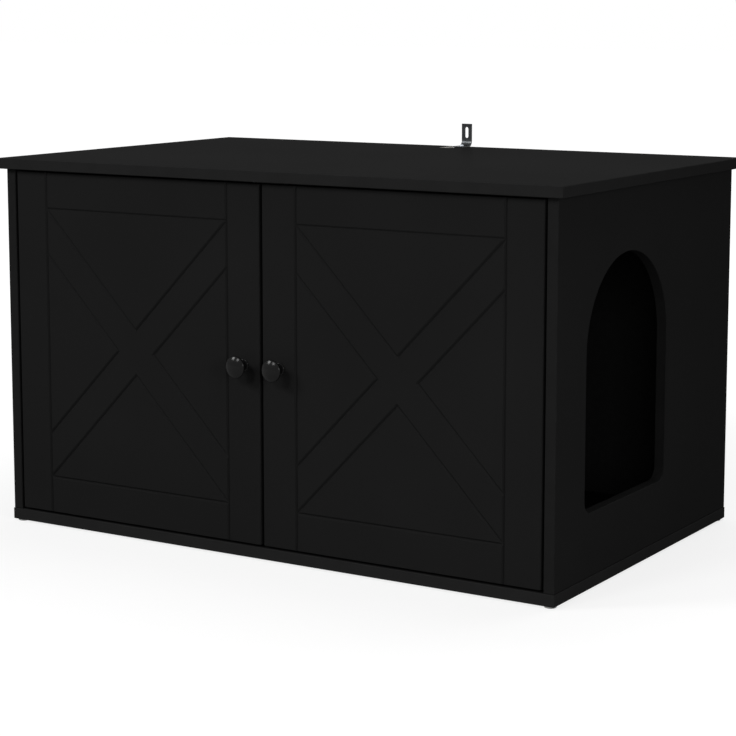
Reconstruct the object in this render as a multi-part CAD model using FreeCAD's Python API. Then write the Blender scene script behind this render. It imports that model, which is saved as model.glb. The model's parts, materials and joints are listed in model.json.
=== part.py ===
import FreeCAD, Part
import math
import os

# A cat litter box cabinet: a flat-pack board carcass with two inset doors, an arched
# cat entrance in the right side panel and a wall bracket on the top's rear edge.
# The origin is on the floor under the middle of the cabinet. +X is to the right,
# +Y is towards the wall and +Z is up. Lengths are millimetres, angles are degrees.

# ---- boards ----------------------------------------------------------------------
TOP_WIDTH = 900.0
TOP_DEPTH = 570.0
CARCASS_HEIGHT = 526.0       # underside of the base to the upper face of the top
TOP_THICKNESS = 15.0
SIDE_THICKNESS = 15.0
BASE_THICKNESS = 16.0
SIDE_OVERHANG = 11.0
FRONT_OVERHANG = 10.0
REAR_OVERHANG = 11.0
BASE_LIP = 1.0               # how far the base stands out at the front and the sides
ARRIS = 0.8                  # bevel of the edge-banded corners

BACK_THICKNESS = 3.0
BACK_INSET = 10.0            # from the rear edge of the sides to the back's groove
BACK_GROOVE_DEPTH = 6.0
BACK_CLEARANCE = 0.2

NOTCH_WIDTH = 20.0           # cable notch in the top's rear edge
NOTCH_DEPTH = 45.0
NOTCH_CENTRE_X = -15.0
NOTCH_CORNER = 4.0
NOTCH_RELIEF = 12.0          # how far the back is cut away below the notch

# ---- arched entrance in the right side panel -------------------------------------
ARCH_WIDTH = 246.0
ARCH_HEIGHT = 326.0
ARCH_SILL_HEIGHT = 100.0     # above the underside of the base
ARCH_FRONT_MARGIN = 83.5     # from the panel's front edge to the front jamb
ARCH_SILL_CORNER = 18.0

# ---- doors -----------------------------------------------------------------------
DOOR_THICKNESS = 15.0
SWING_CLEARANCE = 1.0        # least room between a turning door and the side panel
DOOR_CENTRE_GAP = 5.0
DOOR_TOP_GAP = 3.0
DOOR_BOTTOM_GAP = 3.0
STILE_WIDTH = 53.0
RAIL_WIDTH = 51.5
CROSS_BAND = 44.0
GROOVE_WIDTH = 5.0
GROOVE_DEPTH = 2.5
OVERCUT = 1.0                # how far a cutter runs past the face it starts from

KNOB_DIAMETER = 30.0
KNOB_PROJECTION = 25.0
KNOB_FOOT_RADIUS = 8.5
KNOB_NECK_RADIUS = 6.0
KNOB_HEAD_THICKNESS = 8.0
KNOB_FOOT_THICKNESS = 2.0
KNOB_CROWN = 1.2             # how far the middle of the face stands out
KNOB_RIM_RADIUS = 2.0
KNOB_SCREW_RADIUS = 2.0
KNOB_SCREW_REACH = 10.0      # length of the screw inside the knob
KNOB_SCREW_HEAD_RADIUS = 4.5
KNOB_SCREW_HEAD_HEIGHT = 2.4

# ---- cup hinges ------------------------------------------------------------------
HINGE_INSET = 80.0           # from the door's top or bottom edge to a hinge
CUP_RADIUS = 17.5
CUP_EDGE_MARGIN = 4.0        # wood left between the cup bore and the door's edge
CUP_BORE_DEPTH = 11.5
CUP_WALL = 1.0
CUP_FLOOR = 0.8
FLANGE_LENGTH = 62.0
FLANGE_WIDTH = 23.0
FLANGE_THICKNESS = 1.2
FLANGE_SCREW_SPACING = 48.0
FLANGE_SCREW_OFFSET = 5.0    # from the cup's centre towards the middle of the door
FLANGE_CORNER = 5.0
PIN_RADIUS = 1.5
PIN_FROM_EDGE = 9.0          # hinge axis, from the door's outer edge
PIN_FROM_BACK = 7.5          # hinge axis, from the door's back face
RUNNING_FIT = 0.05           # radial clearance of the arm on its pin
EAR_THICKNESS = 1.5
SHEET = 1.8                  # thickness of the arm's pressed steel
KNUCKLE_RADIUS = 2.6
NECK_WIDTH = 9.0
NECK_CLEARANCE = 0.4
NECK_RISE = 9.0
NECK_BEND = 3.0
ARM_STANDOFF = 9.7           # from the side panel to the middle of the arm's sheet
ARM_WIDTH = 16.0
ARM_LIP = 5.5
ARM_SETBACK = 12.0           # from the door's back face to the arm's channel
ARM_LENGTH = 49.0
PLATE_SETBACK = 37.0         # from the door's back face to the plate's screw line
PLATE_LENGTH = 36.0
PLATE_WING_SPAN = 46.0
PLATE_WING_WIDTH = 13.0
PLATE_THICKNESS = 2.0
PLATE_RAIL_CLEARANCE = 0.2
PLATE_SCREW_SPACING = 32.0

# ---- catch, bracket and glides ---------------------------------------------------
CATCH_WIDTH = 40.0
CATCH_DEPTH = 16.0
CATCH_WALL = 2.0             # housing below a magnet
CATCH_LUG_LENGTH = 10.0
CATCH_LUG_THICKNESS = 2.5
CATCH_GAP = 0.3              # between a magnet and its strike plate
MAGNET_WIDTH = 12.0
MAGNET_HEIGHT = 9.0
MAGNET_DEPTH = 8.0
MAGNET_PROJECTION = 0.8
MAGNET_CENTRE_X = 11.5
STRIKE_SIZE = 14.0
STRIKE_THICKNESS = 1.0
STRIKE_MARGIN = 0.5          # from the door's top edge to the strike plate

BRACKET_WIDTH = 17.0
BRACKET_HEIGHT = 35.0
BRACKET_LEG = 30.0
BRACKET_THICKNESS = 2.0
BRACKET_BEND = 5.0
SLOT_WIDTH = 6.0
SLOT_LENGTH = 17.0
SLOT_CENTRE_HEIGHT = 21.5    # above the upper face of the top

GLIDE_RADIUS = 8.0
GLIDE_HEIGHT = 3.0
GLIDE_INSET = 10.5           # from the base's edges to a glide's centre
GLIDE_CHAMFER = 0.8
NAIL_RADIUS = 1.1
NAIL_HEAD_RADIUS = 2.6
NAIL_HEAD_HEIGHT = 1.0
NAIL_REACH = 8.0

# ---- fixings ---------------------------------------------------------------------
SHANK_SIDES = 8              # flats on slim shanks and their holes
HEAD_SIDES = 12              # flats on heads, dowels and their recesses
FIT = 0.1                    # radial clearance of a fixing in its hole
HOLE_END = 1.0               # free depth beyond the end of a fixing
WOOD_SCREW_RADIUS = 1.75
WOOD_SCREW_REACH = 11.0
WOOD_SCREW_HEAD_RADIUS = 3.5
WOOD_SCREW_HEAD_HEIGHT = 1.8
STRIKE_SCREW_HEAD_RADIUS = 3.0
STRIKE_SCREW_HEAD_HEIGHT = 0.8
CAM_RADIUS = 7.4
CAM_DEPTH = 12.0
CAM_EDGE_DISTANCE = 24.0     # from a side panel's end to the middle of a cam
CAM_MARGIN = 64.0            # from a side panel's front or rear edge to a cam
BOLT_THREAD_RADIUS = 3.0
BOLT_THREAD_LENGTH = 10.0
BOLT_SHANK_RADIUS = 2.5
BOLT_HEAD_RADIUS = 3.4
BOLT_HEAD_LENGTH = 3.0
DOWEL_RADIUS = 4.0
DOWEL_LENGTH = 30.0
DOWEL_IN_FACE = 10.0         # length of a dowel inside the top or the base
DOWEL_SPACING = 32.0         # from a cam bolt to its dowel

# ---- places worked out from the sizes above --------------------------------------
BODY_WIDTH = TOP_WIDTH - 2 * SIDE_OVERHANG
BODY_DEPTH = TOP_DEPTH - FRONT_OVERHANG - REAR_OVERHANG
FOREMOST = max(KNOB_PROJECTION, FRONT_OVERHANG)
FRONT = -(BODY_DEPTH + REAR_OVERHANG - FOREMOST) / 2
REAR = FRONT + BODY_DEPTH
WALL = REAR + REAR_OVERHANG
SIDE_OUTER = BODY_WIDTH / 2
SIDE_INNER = SIDE_OUTER - SIDE_THICKNESS
BASE_BOTTOM = GLIDE_HEIGHT
BASE_TOP = BASE_BOTTOM + BASE_THICKNESS
TOP_TOP = BASE_BOTTOM + CARCASS_HEIGHT
TOP_BOTTOM = TOP_TOP - TOP_THICKNESS
BACK_REAR = REAR - BACK_INSET
BACK_FRONT = BACK_REAR - BACK_THICKNESS

# A door's front corner swings out past its closed edge, so the gap beside it follows the
# corner's circle, rounded up to a whole millimetre.
DOOR_SWING = math.hypot(PIN_FROM_EDGE, DOOR_THICKNESS - PIN_FROM_BACK)
DOOR_SIDE_GAP = math.ceil(DOOR_SWING - PIN_FROM_EDGE + SWING_CLEARANCE)
DOOR_OUTER = SIDE_INNER - DOOR_SIDE_GAP
DOOR_INNER = DOOR_CENTRE_GAP / 2
DOOR_BOTTOM = BASE_TOP + DOOR_BOTTOM_GAP
DOOR_TOP = TOP_BOTTOM - DOOR_TOP_GAP
DOOR_BACK = FRONT + DOOR_THICKNESS
DOOR_MIDDLE_Z = (DOOR_BOTTOM + DOOR_TOP) / 2
KNOB_X = DOOR_INNER + STILE_WIDTH / 2
HINGE_HEIGHTS = (DOOR_BOTTOM + HINGE_INSET, DOOR_TOP - HINGE_INSET)
PIN_X = -DOOR_OUTER + PIN_FROM_EDGE
PIN_Y = DOOR_BACK - PIN_FROM_BACK
CUP_X = -DOOR_OUTER + CUP_EDGE_MARGIN + CUP_RADIUS
PLATE_Y = DOOR_BACK + PLATE_SETBACK
STRIKE_Z = DOOR_TOP - STRIKE_MARGIN - STRIKE_SIZE / 2
CATCH_BOTTOM = STRIKE_Z - MAGNET_HEIGHT / 2 - CATCH_WALL

X_AXIS = FreeCAD.Vector(1, 0, 0)
Y_AXIS = FreeCAD.Vector(0, 1, 0)
Z_AXIS = FreeCAD.Vector(0, 0, 1)


# ---- small tools -----------------------------------------------------------------
def point(x, y, z):
    return FreeCAD.Vector(x, y, z)


def block(x, y, z):
    """A box between the lowest and highest value given for each direction."""
    return Part.makeBox(x[1] - x[0], y[1] - y[0], z[1] - z[0], point(x[0], y[0], z[0]))


def centred(middle, size):
    """The lowest and highest value of a span about its middle."""
    return (middle - size / 2, middle + size / 2)


def board(x, y, z):
    """A sheet of laminated board with its sharp edges taken off."""
    sheet = block(x, y, z)
    return sheet.makeChamfer(ARRIS, sheet.Edges)


def rod(radius, start, direction, length):
    return Part.makeCylinder(radius, length, start, direction)


def join(shapes):
    shapes = list(shapes)
    return shapes[0].fuse(shapes[1:]).removeSplitter()


def mirrored(shape):
    """The same piece on the other side of the cabinet."""
    return shape.mirror(point(0, 0, 0), X_AXIS)


def both_sides(shapes):
    shapes = list(shapes)
    return shapes + [mirrored(shape) for shape in shapes]


def flat_sided_rod(radius, start, direction, length, sides):
    """A rod with a few flat sides, for the small fixings and the holes they sit in."""
    turn = FreeCAD.Rotation(Z_AXIS, direction)
    corners = []
    for number in range(sides + 1):
        angle = 2 * math.pi * number / sides
        corners.append(start + turn.multVec(
            point(radius * math.cos(angle), radius * math.sin(angle), 0)))
    return Part.Face(Part.makePolygon(corners)).extrude(direction * length)


def headed_fixing(seat, into, radius, reach, head_radius, head_height):
    """A screw: its head stands on the seat and its shank runs the other way."""
    head = flat_sided_rod(head_radius, seat, into * -1, head_height, HEAD_SIDES)
    shank = flat_sided_rod(radius, seat, into, reach, SHANK_SIDES)
    return head.fuse(shank).removeSplitter()


def fixing_hole(seat, into, radius, reach, before=0.0, sides=SHANK_SIDES):
    """The hole for a shank, starting a little before the surface it enters."""
    length = reach + before + HOLE_END
    return flat_sided_rod(radius + FIT, seat - into * before, into, length, sides)


def screw_hole(face, out, thickness):
    """A hole for a wood screw right through a plate that stands on the face."""
    return fixing_hole(face, out, WOOD_SCREW_RADIUS, thickness, OVERCUT)


# ---- carcass joints: cams, bolts and dowels --------------------------------------
def joint_rows():
    """Each place where a left side panel's end meets the top or the base.

    Gives the middle of the joint line, and the direction into the side panel.
    """
    side_middle = -(SIDE_OUTER + SIDE_INNER) / 2
    rows = []
    for z, into in ((TOP_BOTTOM, Z_AXIS * -1), (BASE_TOP, Z_AXIS)):
        for y, towards in ((FRONT + CAM_MARGIN, 1), (REAR - CAM_MARGIN, -1)):
            rows.append((point(side_middle, y, z), into, Y_AXIS * towards))
    return rows


def cam_centre(place, into):
    return place + into * CAM_EDGE_DISTANCE


def cam_disc(place, into):
    """A cam with a slot that grips the bolt's head."""
    middle = cam_centre(place, into)
    face = point(-SIDE_INNER, middle.y, middle.z)
    disc = rod(CAM_RADIUS, face, X_AXIS * -1, CAM_DEPTH)
    slot_end = place + into * (CAM_EDGE_DISTANCE + BOLT_HEAD_LENGTH + FIT)
    slot_width = 2 * (BOLT_HEAD_RADIUS + FIT)
    slot = block(
        centred(place.x, slot_width),
        centred(place.y, slot_width),
        (min(place.z, slot_end.z), max(place.z, slot_end.z)),
    )
    return disc.cut(slot)


def cam_bolt(place, into):
    thread = flat_sided_rod(
        BOLT_THREAD_RADIUS, place, into * -1, BOLT_THREAD_LENGTH, SHANK_SIDES)
    shank = flat_sided_rod(BOLT_SHANK_RADIUS, place, into, CAM_EDGE_DISTANCE, SHANK_SIDES)
    head = flat_sided_rod(
        BOLT_HEAD_RADIUS, cam_centre(place, into), into, BOLT_HEAD_LENGTH, SHANK_SIDES)
    return join([thread, shank, head])


def dowel(place, into, along):
    start = place + along * DOWEL_SPACING - into * DOWEL_IN_FACE
    return flat_sided_rod(DOWEL_RADIUS, start, into, DOWEL_LENGTH, HEAD_SIDES)


def joint_bores_in_face():
    """Bores in the top and the base for the bolts and the dowels."""
    bores = []
    for place, into, along in joint_rows():
        out = into * -1
        bores.append(fixing_hole(place, out, BOLT_THREAD_RADIUS, BOLT_THREAD_LENGTH))
        dowel_place = place + along * DOWEL_SPACING
        bores.append(fixing_hole(
            dowel_place, out, DOWEL_RADIUS, DOWEL_IN_FACE, sides=HEAD_SIDES))
    return both_sides(bores)


def joint_bores_in_side():
    """Bores in the left side panel for the cams, the bolts and the dowels."""
    bores = []
    for place, into, along in joint_rows():
        middle = cam_centre(place, into)
        face = point(-SIDE_INNER, middle.y, middle.z)
        bores.append(rod(CAM_RADIUS + FIT, face, X_AXIS * -1, CAM_DEPTH + FIT))
        bores.append(fixing_hole(place, into, BOLT_HEAD_RADIUS, CAM_EDGE_DISTANCE))
        dowel_place = place + along * DOWEL_SPACING
        reach = DOWEL_LENGTH - DOWEL_IN_FACE
        bores.append(fixing_hole(dowel_place, into, DOWEL_RADIUS, reach, sides=HEAD_SIDES))
    return bores


# ---- boards ----------------------------------------------------------------------
def back_groove():
    """The space of the groove that holds the back panel on all four sides."""
    return block(
        (-SIDE_INNER - BACK_GROOVE_DEPTH, SIDE_INNER + BACK_GROOVE_DEPTH),
        (BACK_FRONT - BACK_CLEARANCE, BACK_REAR + BACK_CLEARANCE),
        (BASE_TOP - BACK_GROOVE_DEPTH, TOP_BOTTOM + BACK_GROOVE_DEPTH),
    )


def notch_cutter(bottom, top):
    """The cable notch, with a rounded inner end, open to the rear."""
    notch = block(
        centred(NOTCH_CENTRE_X, NOTCH_WIDTH),
        (WALL - NOTCH_DEPTH, WALL + OVERCUT),
        (bottom, top),
    )
    inner_corners = []
    for edge in notch.Edges:
        upright = abs(edge.tangentAt(edge.FirstParameter).z) > math.cos(math.pi / 4)
        if upright and edge.CenterOfMass.y < WALL:
            inner_corners.append(edge)
    return notch.makeFillet(NOTCH_CORNER, inner_corners)


def top_panel():
    panel = board(
        centred(0, TOP_WIDTH),
        (FRONT - FRONT_OVERHANG, WALL),
        (TOP_BOTTOM, TOP_TOP),
    )
    cutters = joint_bores_in_face()
    cutters += [back_groove(), notch_cutter(TOP_BOTTOM - OVERCUT, TOP_TOP + OVERCUT)]
    cutters += [
        fixing_hole(seat, Z_AXIS, WOOD_SCREW_RADIUS, catch_screw_reach(), OVERCUT)
        for seat in catch_screw_seats()
    ]
    cutters.append(fixing_hole(
        bracket_screw_seat(), Z_AXIS * -1, WOOD_SCREW_RADIUS, bracket_screw_reach()))
    return panel.cut(cutters)


def base_panel():
    panel = board(
        centred(0, BODY_WIDTH + 2 * BASE_LIP),
        (FRONT - BASE_LIP, REAR),
        (BASE_BOTTOM, BASE_TOP),
    )
    cutters = joint_bores_in_face() + [back_groove()]
    for x, y in glide_centres():
        cutters.append(fixing_hole(point(x, y, BASE_BOTTOM), Z_AXIS, NAIL_RADIUS, NAIL_REACH))
    return panel.cut(cutters)


def plain_side():
    """The left side panel, bored for its cams, dowels, back and hinge plates."""
    panel = board((-SIDE_OUTER, -SIDE_INNER), (FRONT, REAR), (BASE_TOP, TOP_BOTTOM))
    cutters = joint_bores_in_side() + [back_groove()]
    for seat in plate_screw_seats():
        cutters.append(fixing_hole(
            seat, X_AXIS * -1, WOOD_SCREW_RADIUS, WOOD_SCREW_REACH - PLATE_THICKNESS))
    return panel.cut(cutters)


def arch_outline(x):
    """The entrance's outline: a round head on straight jambs, with a soft sill."""
    front = FRONT + ARCH_FRONT_MARGIN
    rear = front + ARCH_WIDTH
    sill = BASE_BOTTOM + ARCH_SILL_HEIGHT
    spring = sill + ARCH_HEIGHT - ARCH_WIDTH / 2
    middle = (front + rear) / 2
    corner = ARCH_SILL_CORNER
    bulge = corner * (1 - math.cos(math.pi / 4))

    def at(y, z):
        return point(x, y, z)

    return Part.Wire([
        Part.Arc(at(front, spring), at(middle, sill + ARCH_HEIGHT), at(rear, spring)).toShape(),
        Part.makeLine(at(rear, spring), at(rear, sill + corner)),
        Part.Arc(at(rear, sill + corner), at(rear - bulge, sill + bulge),
                 at(rear - corner, sill)).toShape(),
        Part.makeLine(at(rear - corner, sill), at(front + corner, sill)),
        Part.Arc(at(front + corner, sill), at(front + bulge, sill + bulge),
                 at(front, sill + corner)).toShape(),
        Part.makeLine(at(front, sill + corner), at(front, spring)),
    ])


def entrance_side():
    """The right side panel: the left one mirrored, with the arch routed out."""
    opening = Part.Face(arch_outline(SIDE_INNER - OVERCUT))
    opening = opening.extrude(X_AXIS * (SIDE_THICKNESS + 2 * OVERCUT))
    panel = mirrored(plain_side()).cut(opening)
    rim = []
    for edge in panel.Edges:
        box = edge.BoundBox
        on_face = min(abs(box.XMin - face) for face in (SIDE_INNER, SIDE_OUTER))
        flat = box.XLength < FIT and on_face < FIT
        if flat and opening.distToShape(Part.Vertex(edge.CenterOfMass))[0] < ARCH_SILL_CORNER:
            inside_front = box.YMin > FRONT + ARCH_FRONT_MARGIN - OVERCUT
            inside_rear = box.YMax < FRONT + ARCH_FRONT_MARGIN + ARCH_WIDTH + OVERCUT
            if inside_front and inside_rear:
                rim.append(edge)
    return panel.makeChamfer(ARRIS, rim)


def back_panel():
    reach = BACK_GROOVE_DEPTH - BACK_CLEARANCE
    panel = block(
        (-SIDE_INNER - reach, SIDE_INNER + reach),
        (BACK_FRONT, BACK_REAR),
        (BASE_TOP - reach, TOP_BOTTOM + reach),
    )
    return panel.cut(notch_cutter(TOP_BOTTOM - NOTCH_RELIEF, TOP_TOP))


# ---- doors -----------------------------------------------------------------------
def vee_cutter(x, z, angle, length):
    """A V-shaped groove in the door's front face, through (x, z) at an angle."""
    slope = GROOVE_WIDTH / 2 / GROOVE_DEPTH
    mouth = slope * (GROOVE_DEPTH + OVERCUT)
    start = -length / 2
    section = Part.makePolygon([
        point(start, -OVERCUT, -mouth),
        point(start, GROOVE_DEPTH, 0),
        point(start, -OVERCUT, mouth),
        point(start, -OVERCUT, -mouth),
    ])
    cutter = Part.Face(section).extrude(X_AXIS * length)
    cutter.rotate(point(0, 0, 0), Y_AXIS, -angle)
    cutter.translate(point(x, FRONT, z))
    return cutter


def cross_grooves(left, right, bottom, top):
    """The X of two wide bands: each quarter of the panel holds two groove ends."""
    middle_x = (left + right) / 2
    middle_z = (bottom + top) / 2
    half_width = (right - left) / 2
    half_height = (top - bottom) / 2
    half_diagonal = math.hypot(half_width, half_height)
    # The band's outer groove runs into the panel's corner, so the band is a little
    # steeper or flatter than the diagonal itself.
    slope = math.acos(CROSS_BAND / 2 / half_diagonal) - math.atan2(half_width, half_height)
    quarter = block((left, middle_x), (FRONT - OVERCUT, DOOR_BACK), (middle_z, top))
    offset_x = CROSS_BAND / 2 * math.sin(slope)
    offset_z = CROSS_BAND / 2 * math.cos(slope)
    length = 2 * (half_width + half_height)
    quarter_grooves = [
        vee_cutter(middle_x + side * offset_x, middle_z + side * offset_z,
                   -math.degrees(slope), length).common(quarter)
        for side in (1, -1)
    ]
    centre = point(middle_x, 0, middle_z)
    upper = quarter_grooves + [g.mirror(centre, X_AXIS) for g in quarter_grooves]
    return upper + [g.mirror(centre, Z_AXIS) for g in upper]


def door_grooves():
    left = -DOOR_OUTER + STILE_WIDTH
    right = -DOOR_INNER - STILE_WIDTH
    bottom = DOOR_BOTTOM + RAIL_WIDTH
    top = DOOR_TOP - RAIL_WIDTH
    door_height = DOOR_TOP - DOOR_BOTTOM
    stiles = [
        vee_cutter(x, DOOR_MIDDLE_Z, 90, door_height + 2 * OVERCUT)
        for x in (left, right)
    ]
    rails = [
        vee_cutter((left + right) / 2, z, 0, right - left)
        for z in (bottom, top)
    ]
    return stiles + rails + cross_grooves(left, right, bottom, top)


def cup_bores():
    return [
        rod(CUP_RADIUS + FIT, point(CUP_X, DOOR_BACK + OVERCUT, z), Y_AXIS * -1,
            CUP_BORE_DEPTH + OVERCUT)
        for z in HINGE_HEIGHTS
    ]


def left_door():
    door = board((-DOOR_OUTER, -DOOR_INNER), (FRONT, DOOR_BACK), (DOOR_BOTTOM, DOOR_TOP))
    forward = Y_AXIS * -1
    cutters = door_grooves() + cup_bores()
    for seat in cup_screw_seats():
        cutters.append(fixing_hole(
            seat, forward, WOOD_SCREW_RADIUS, WOOD_SCREW_REACH - FLANGE_THICKNESS))
    cutters.append(fixing_hole(
        strike_screw_seat(), forward, WOOD_SCREW_RADIUS, WOOD_SCREW_REACH - STRIKE_THICKNESS))
    knob_seat = point(-KNOB_X, DOOR_BACK, DOOR_MIDDLE_Z)
    cutters.append(fixing_hole(
        knob_seat, forward, KNOB_SCREW_RADIUS, DOOR_THICKNESS, OVERCUT))
    return door.cut(cutters)


# ---- knobs -----------------------------------------------------------------------
def left_knob():
    """A mushroom knob: a foot, a waisted neck and a crowned, round-edged head."""
    def at(radius, out):
        return point(-KNOB_X + radius, FRONT - out, DOOR_MIDDLE_Z)

    head_radius = KNOB_DIAMETER / 2
    head_back = KNOB_PROJECTION - KNOB_HEAD_THICKNESS
    face_edge = KNOB_PROJECTION - KNOB_CROWN
    rim = KNOB_RIM_RADIUS
    rim_bulge = rim * math.cos(math.pi / 4)
    waist = (KNOB_FOOT_THICKNESS + head_back) / 2
    face_radius = head_radius - rim
    crown_radius = (face_radius ** 2 + KNOB_CROWN ** 2) / (2 * KNOB_CROWN)
    half_way = math.asin(face_radius / crown_radius) / 2
    crown_drop = crown_radius * (1 - math.cos(half_way))
    outline = Part.Wire([
        Part.makeLine(at(0, 0), at(KNOB_FOOT_RADIUS, 0)),
        Part.makeLine(at(KNOB_FOOT_RADIUS, 0), at(KNOB_FOOT_RADIUS, KNOB_FOOT_THICKNESS)),
        Part.makeLine(at(KNOB_FOOT_RADIUS, KNOB_FOOT_THICKNESS), at(KNOB_NECK_RADIUS, waist)),
        Part.makeLine(at(KNOB_NECK_RADIUS, waist), at(KNOB_FOOT_RADIUS, head_back)),
        Part.makeLine(at(KNOB_FOOT_RADIUS, head_back), at(head_radius, head_back + rim)),
        Part.makeLine(at(head_radius, head_back + rim), at(head_radius, face_edge - rim)),
        Part.Arc(at(head_radius, face_edge - rim),
                 at(head_radius - rim + rim_bulge, face_edge - rim + rim_bulge),
                 at(face_radius, face_edge)).toShape(),
        Part.Arc(at(face_radius, face_edge),
                 at(crown_radius * math.sin(half_way), KNOB_PROJECTION - crown_drop),
                 at(0, KNOB_PROJECTION)).toShape(),
        Part.makeLine(at(0, KNOB_PROJECTION), at(0, 0)),
    ])
    knob = Part.Face(outline).revolve(at(0, 0), Y_AXIS, 360)
    return knob.cut(fixing_hole(at(0, 0), Y_AXIS * -1, KNOB_SCREW_RADIUS, KNOB_SCREW_REACH))


def left_knob_screw():
    return headed_fixing(
        point(-KNOB_X, DOOR_BACK, DOOR_MIDDLE_Z), Y_AXIS * -1, KNOB_SCREW_RADIUS,
        DOOR_THICKNESS + KNOB_SCREW_REACH, KNOB_SCREW_HEAD_RADIUS, KNOB_SCREW_HEAD_HEIGHT)


# ---- cup hinges ------------------------------------------------------------------
def hinge_cup(z):
    """A pressed cup with a flange on the door's back and two ears for the pin."""
    back = Y_AXIS * -1
    mouth = point(CUP_X, DOOR_BACK, z)
    shell = rod(CUP_RADIUS, mouth, back, CUP_BORE_DEPTH - FIT)
    hollow_depth = CUP_BORE_DEPTH - FIT - CUP_FLOOR
    inner_radius = CUP_RADIUS - CUP_WALL
    flange = block(
        centred(CUP_X, FLANGE_WIDTH),
        (DOOR_BACK, DOOR_BACK + FLANGE_THICKNESS),
        centred(z, FLANGE_LENGTH),
    )
    corners = [
        edge for edge in flange.Edges
        if abs(edge.tangentAt(edge.FirstParameter).y) > math.cos(math.pi / 4)
    ]
    flange = flange.makeChamfer(FLANGE_CORNER, corners)
    lip = rod(CUP_RADIUS + CUP_WALL, mouth, Y_AXIS, FLANGE_THICKNESS)
    hollow = rod(inner_radius, mouth + Y_AXIS * (FLANGE_THICKNESS + OVERCUT), back,
                 hollow_depth + FLANGE_THICKNESS + OVERCUT)
    cup = join([shell, flange, lip]).cut(hollow)
    cup = cup.fuse(hinge_ears(z)).removeSplitter()
    return cup.cut([
        rod(PIN_RADIUS + RUNNING_FIT, point(PIN_X, PIN_Y, z - pin_length()), Z_AXIS,
            2 * pin_length()),
        *[screw_hole(seat, Y_AXIS, FLANGE_THICKNESS) for seat in cup_screw_places(z)],
    ])


def ear_gap():
    """The clear width between a cup's two ears, which the arm's neck fits."""
    return NECK_WIDTH + 2 * NECK_CLEARANCE


def pin_length():
    return ear_gap() + 2 * EAR_THICKNESS


def hinge_ears(z):
    """Two upright ears that stand on the cup's floor and carry the pin's ends."""
    floor = DOOR_BACK - CUP_BORE_DEPTH + FIT
    bowl = rod(CUP_RADIUS - CUP_WALL / 2, point(CUP_X, floor, z), Y_AXIS, CUP_BORE_DEPTH)
    ears = []
    for side in (1, -1):
        inner = z + side * ear_gap() / 2
        outer = inner + side * EAR_THICKNESS
        ear = block(
            (-DOOR_OUTER + CUP_EDGE_MARGIN, PIN_X + 2 * PIN_RADIUS),
            (floor, PIN_Y + 2 * PIN_RADIUS),
            (min(inner, outer), max(inner, outer)),
        )
        ears.append(ear.common(bowl))
    return ears


def hinge_pin(z):
    length = pin_length() - 2 * FIT
    return rod(PIN_RADIUS, point(PIN_X, PIN_Y, z - length / 2), Z_AXIS, length)


def cup_screw_places(z):
    x = CUP_X + FLANGE_SCREW_OFFSET
    return [point(x, DOOR_BACK, z + side * FLANGE_SCREW_SPACING / 2) for side in (1, -1)]


def cup_screw_seats():
    return [seat for z in HINGE_HEIGHTS for seat in cup_screw_places(z)]


def cup_screw(seat):
    on_flange = seat + Y_AXIS * FLANGE_THICKNESS
    return headed_fixing(on_flange, Y_AXIS * -1, WOOD_SCREW_RADIUS, WOOD_SCREW_REACH,
                         WOOD_SCREW_HEAD_RADIUS, WOOD_SCREW_HEAD_HEIGHT)


def neck_reach():
    """How far the neck runs into the cup before it turns back.

    The door's edge swings about the pin, so the neck keeps outside that circle.
    """
    swing = max(DOOR_SWING, math.hypot(PIN_FROM_EDGE, PIN_FROM_BACK))
    return swing + NECK_CLEARANCE + SHEET / 2


def bent_path(corners, radius):
    """A line through the corners with each inner corner rounded."""
    edges = []
    start = corners[0]
    for before, corner, after in zip(corners, corners[1:], corners[2:]):
        back = (before - corner).normalize()
        ahead = (after - corner).normalize()
        half_angle = back.getAngle(ahead) / 2
        setback = radius / math.tan(half_angle)
        bisector = (back + ahead).normalize()
        crown = corner + bisector * (radius / math.sin(half_angle) - radius)
        arc_start = corner + back * setback
        arc_end = corner + ahead * setback
        edges.append(Part.makeLine(start, arc_start))
        edges.append(Part.Arc(arc_start, crown, arc_end).toShape())
        start = arc_end
    edges.append(Part.makeLine(start, corners[-1]))
    return Part.Wire(edges)


def hinge_arm(z):
    """A gooseneck arm: a knuckle on the pin, a bent neck and a channel."""
    web = -SIDE_INNER + ARM_STANDOFF
    arm_y = DOOR_BACK + ARM_SETBACK
    floor = z - NECK_WIDTH / 2
    path = bent_path([
        point(PIN_X, PIN_Y, floor),
        point(PIN_X + neck_reach(), PIN_Y, floor),
        point(PIN_X + neck_reach(), PIN_Y + NECK_RISE, floor),
        point(web, arm_y, floor),
        point(web, arm_y + ARM_LENGTH / 2, floor),
    ], NECK_BEND)
    neck = path.makeOffset2D(SHEET / 2, 0, True).extrude(Z_AXIS * NECK_WIDTH)
    knuckle = rod(KNUCKLE_RADIUS, point(PIN_X, PIN_Y, floor), Z_AXIS, NECK_WIDTH)
    arm = join([neck, knuckle, arm_channel(z, web, arm_y)])
    cutters = [rod(PIN_RADIUS + RUNNING_FIT, point(PIN_X, PIN_Y, floor - OVERCUT), Z_AXIS,
                   NECK_WIDTH + 2 * OVERCUT)]
    for seat in arm_screw_places(z):
        cutters.append(screw_hole(seat, X_AXIS * -1, SHEET))
    return arm.cut(cutters)


def arm_channel(z, web, arm_y):
    """The arm's U-shaped body, open towards the side panel."""
    run = (arm_y, arm_y + ARM_LENGTH)
    outside = block((web - SHEET / 2 - ARM_LIP, web + SHEET / 2), run, centred(z, ARM_WIDTH))
    inside = block(
        (web - SHEET / 2 - ARM_LIP, web - SHEET / 2), run, centred(z, ARM_WIDTH - 2 * SHEET))
    return outside.cut(inside)


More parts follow.
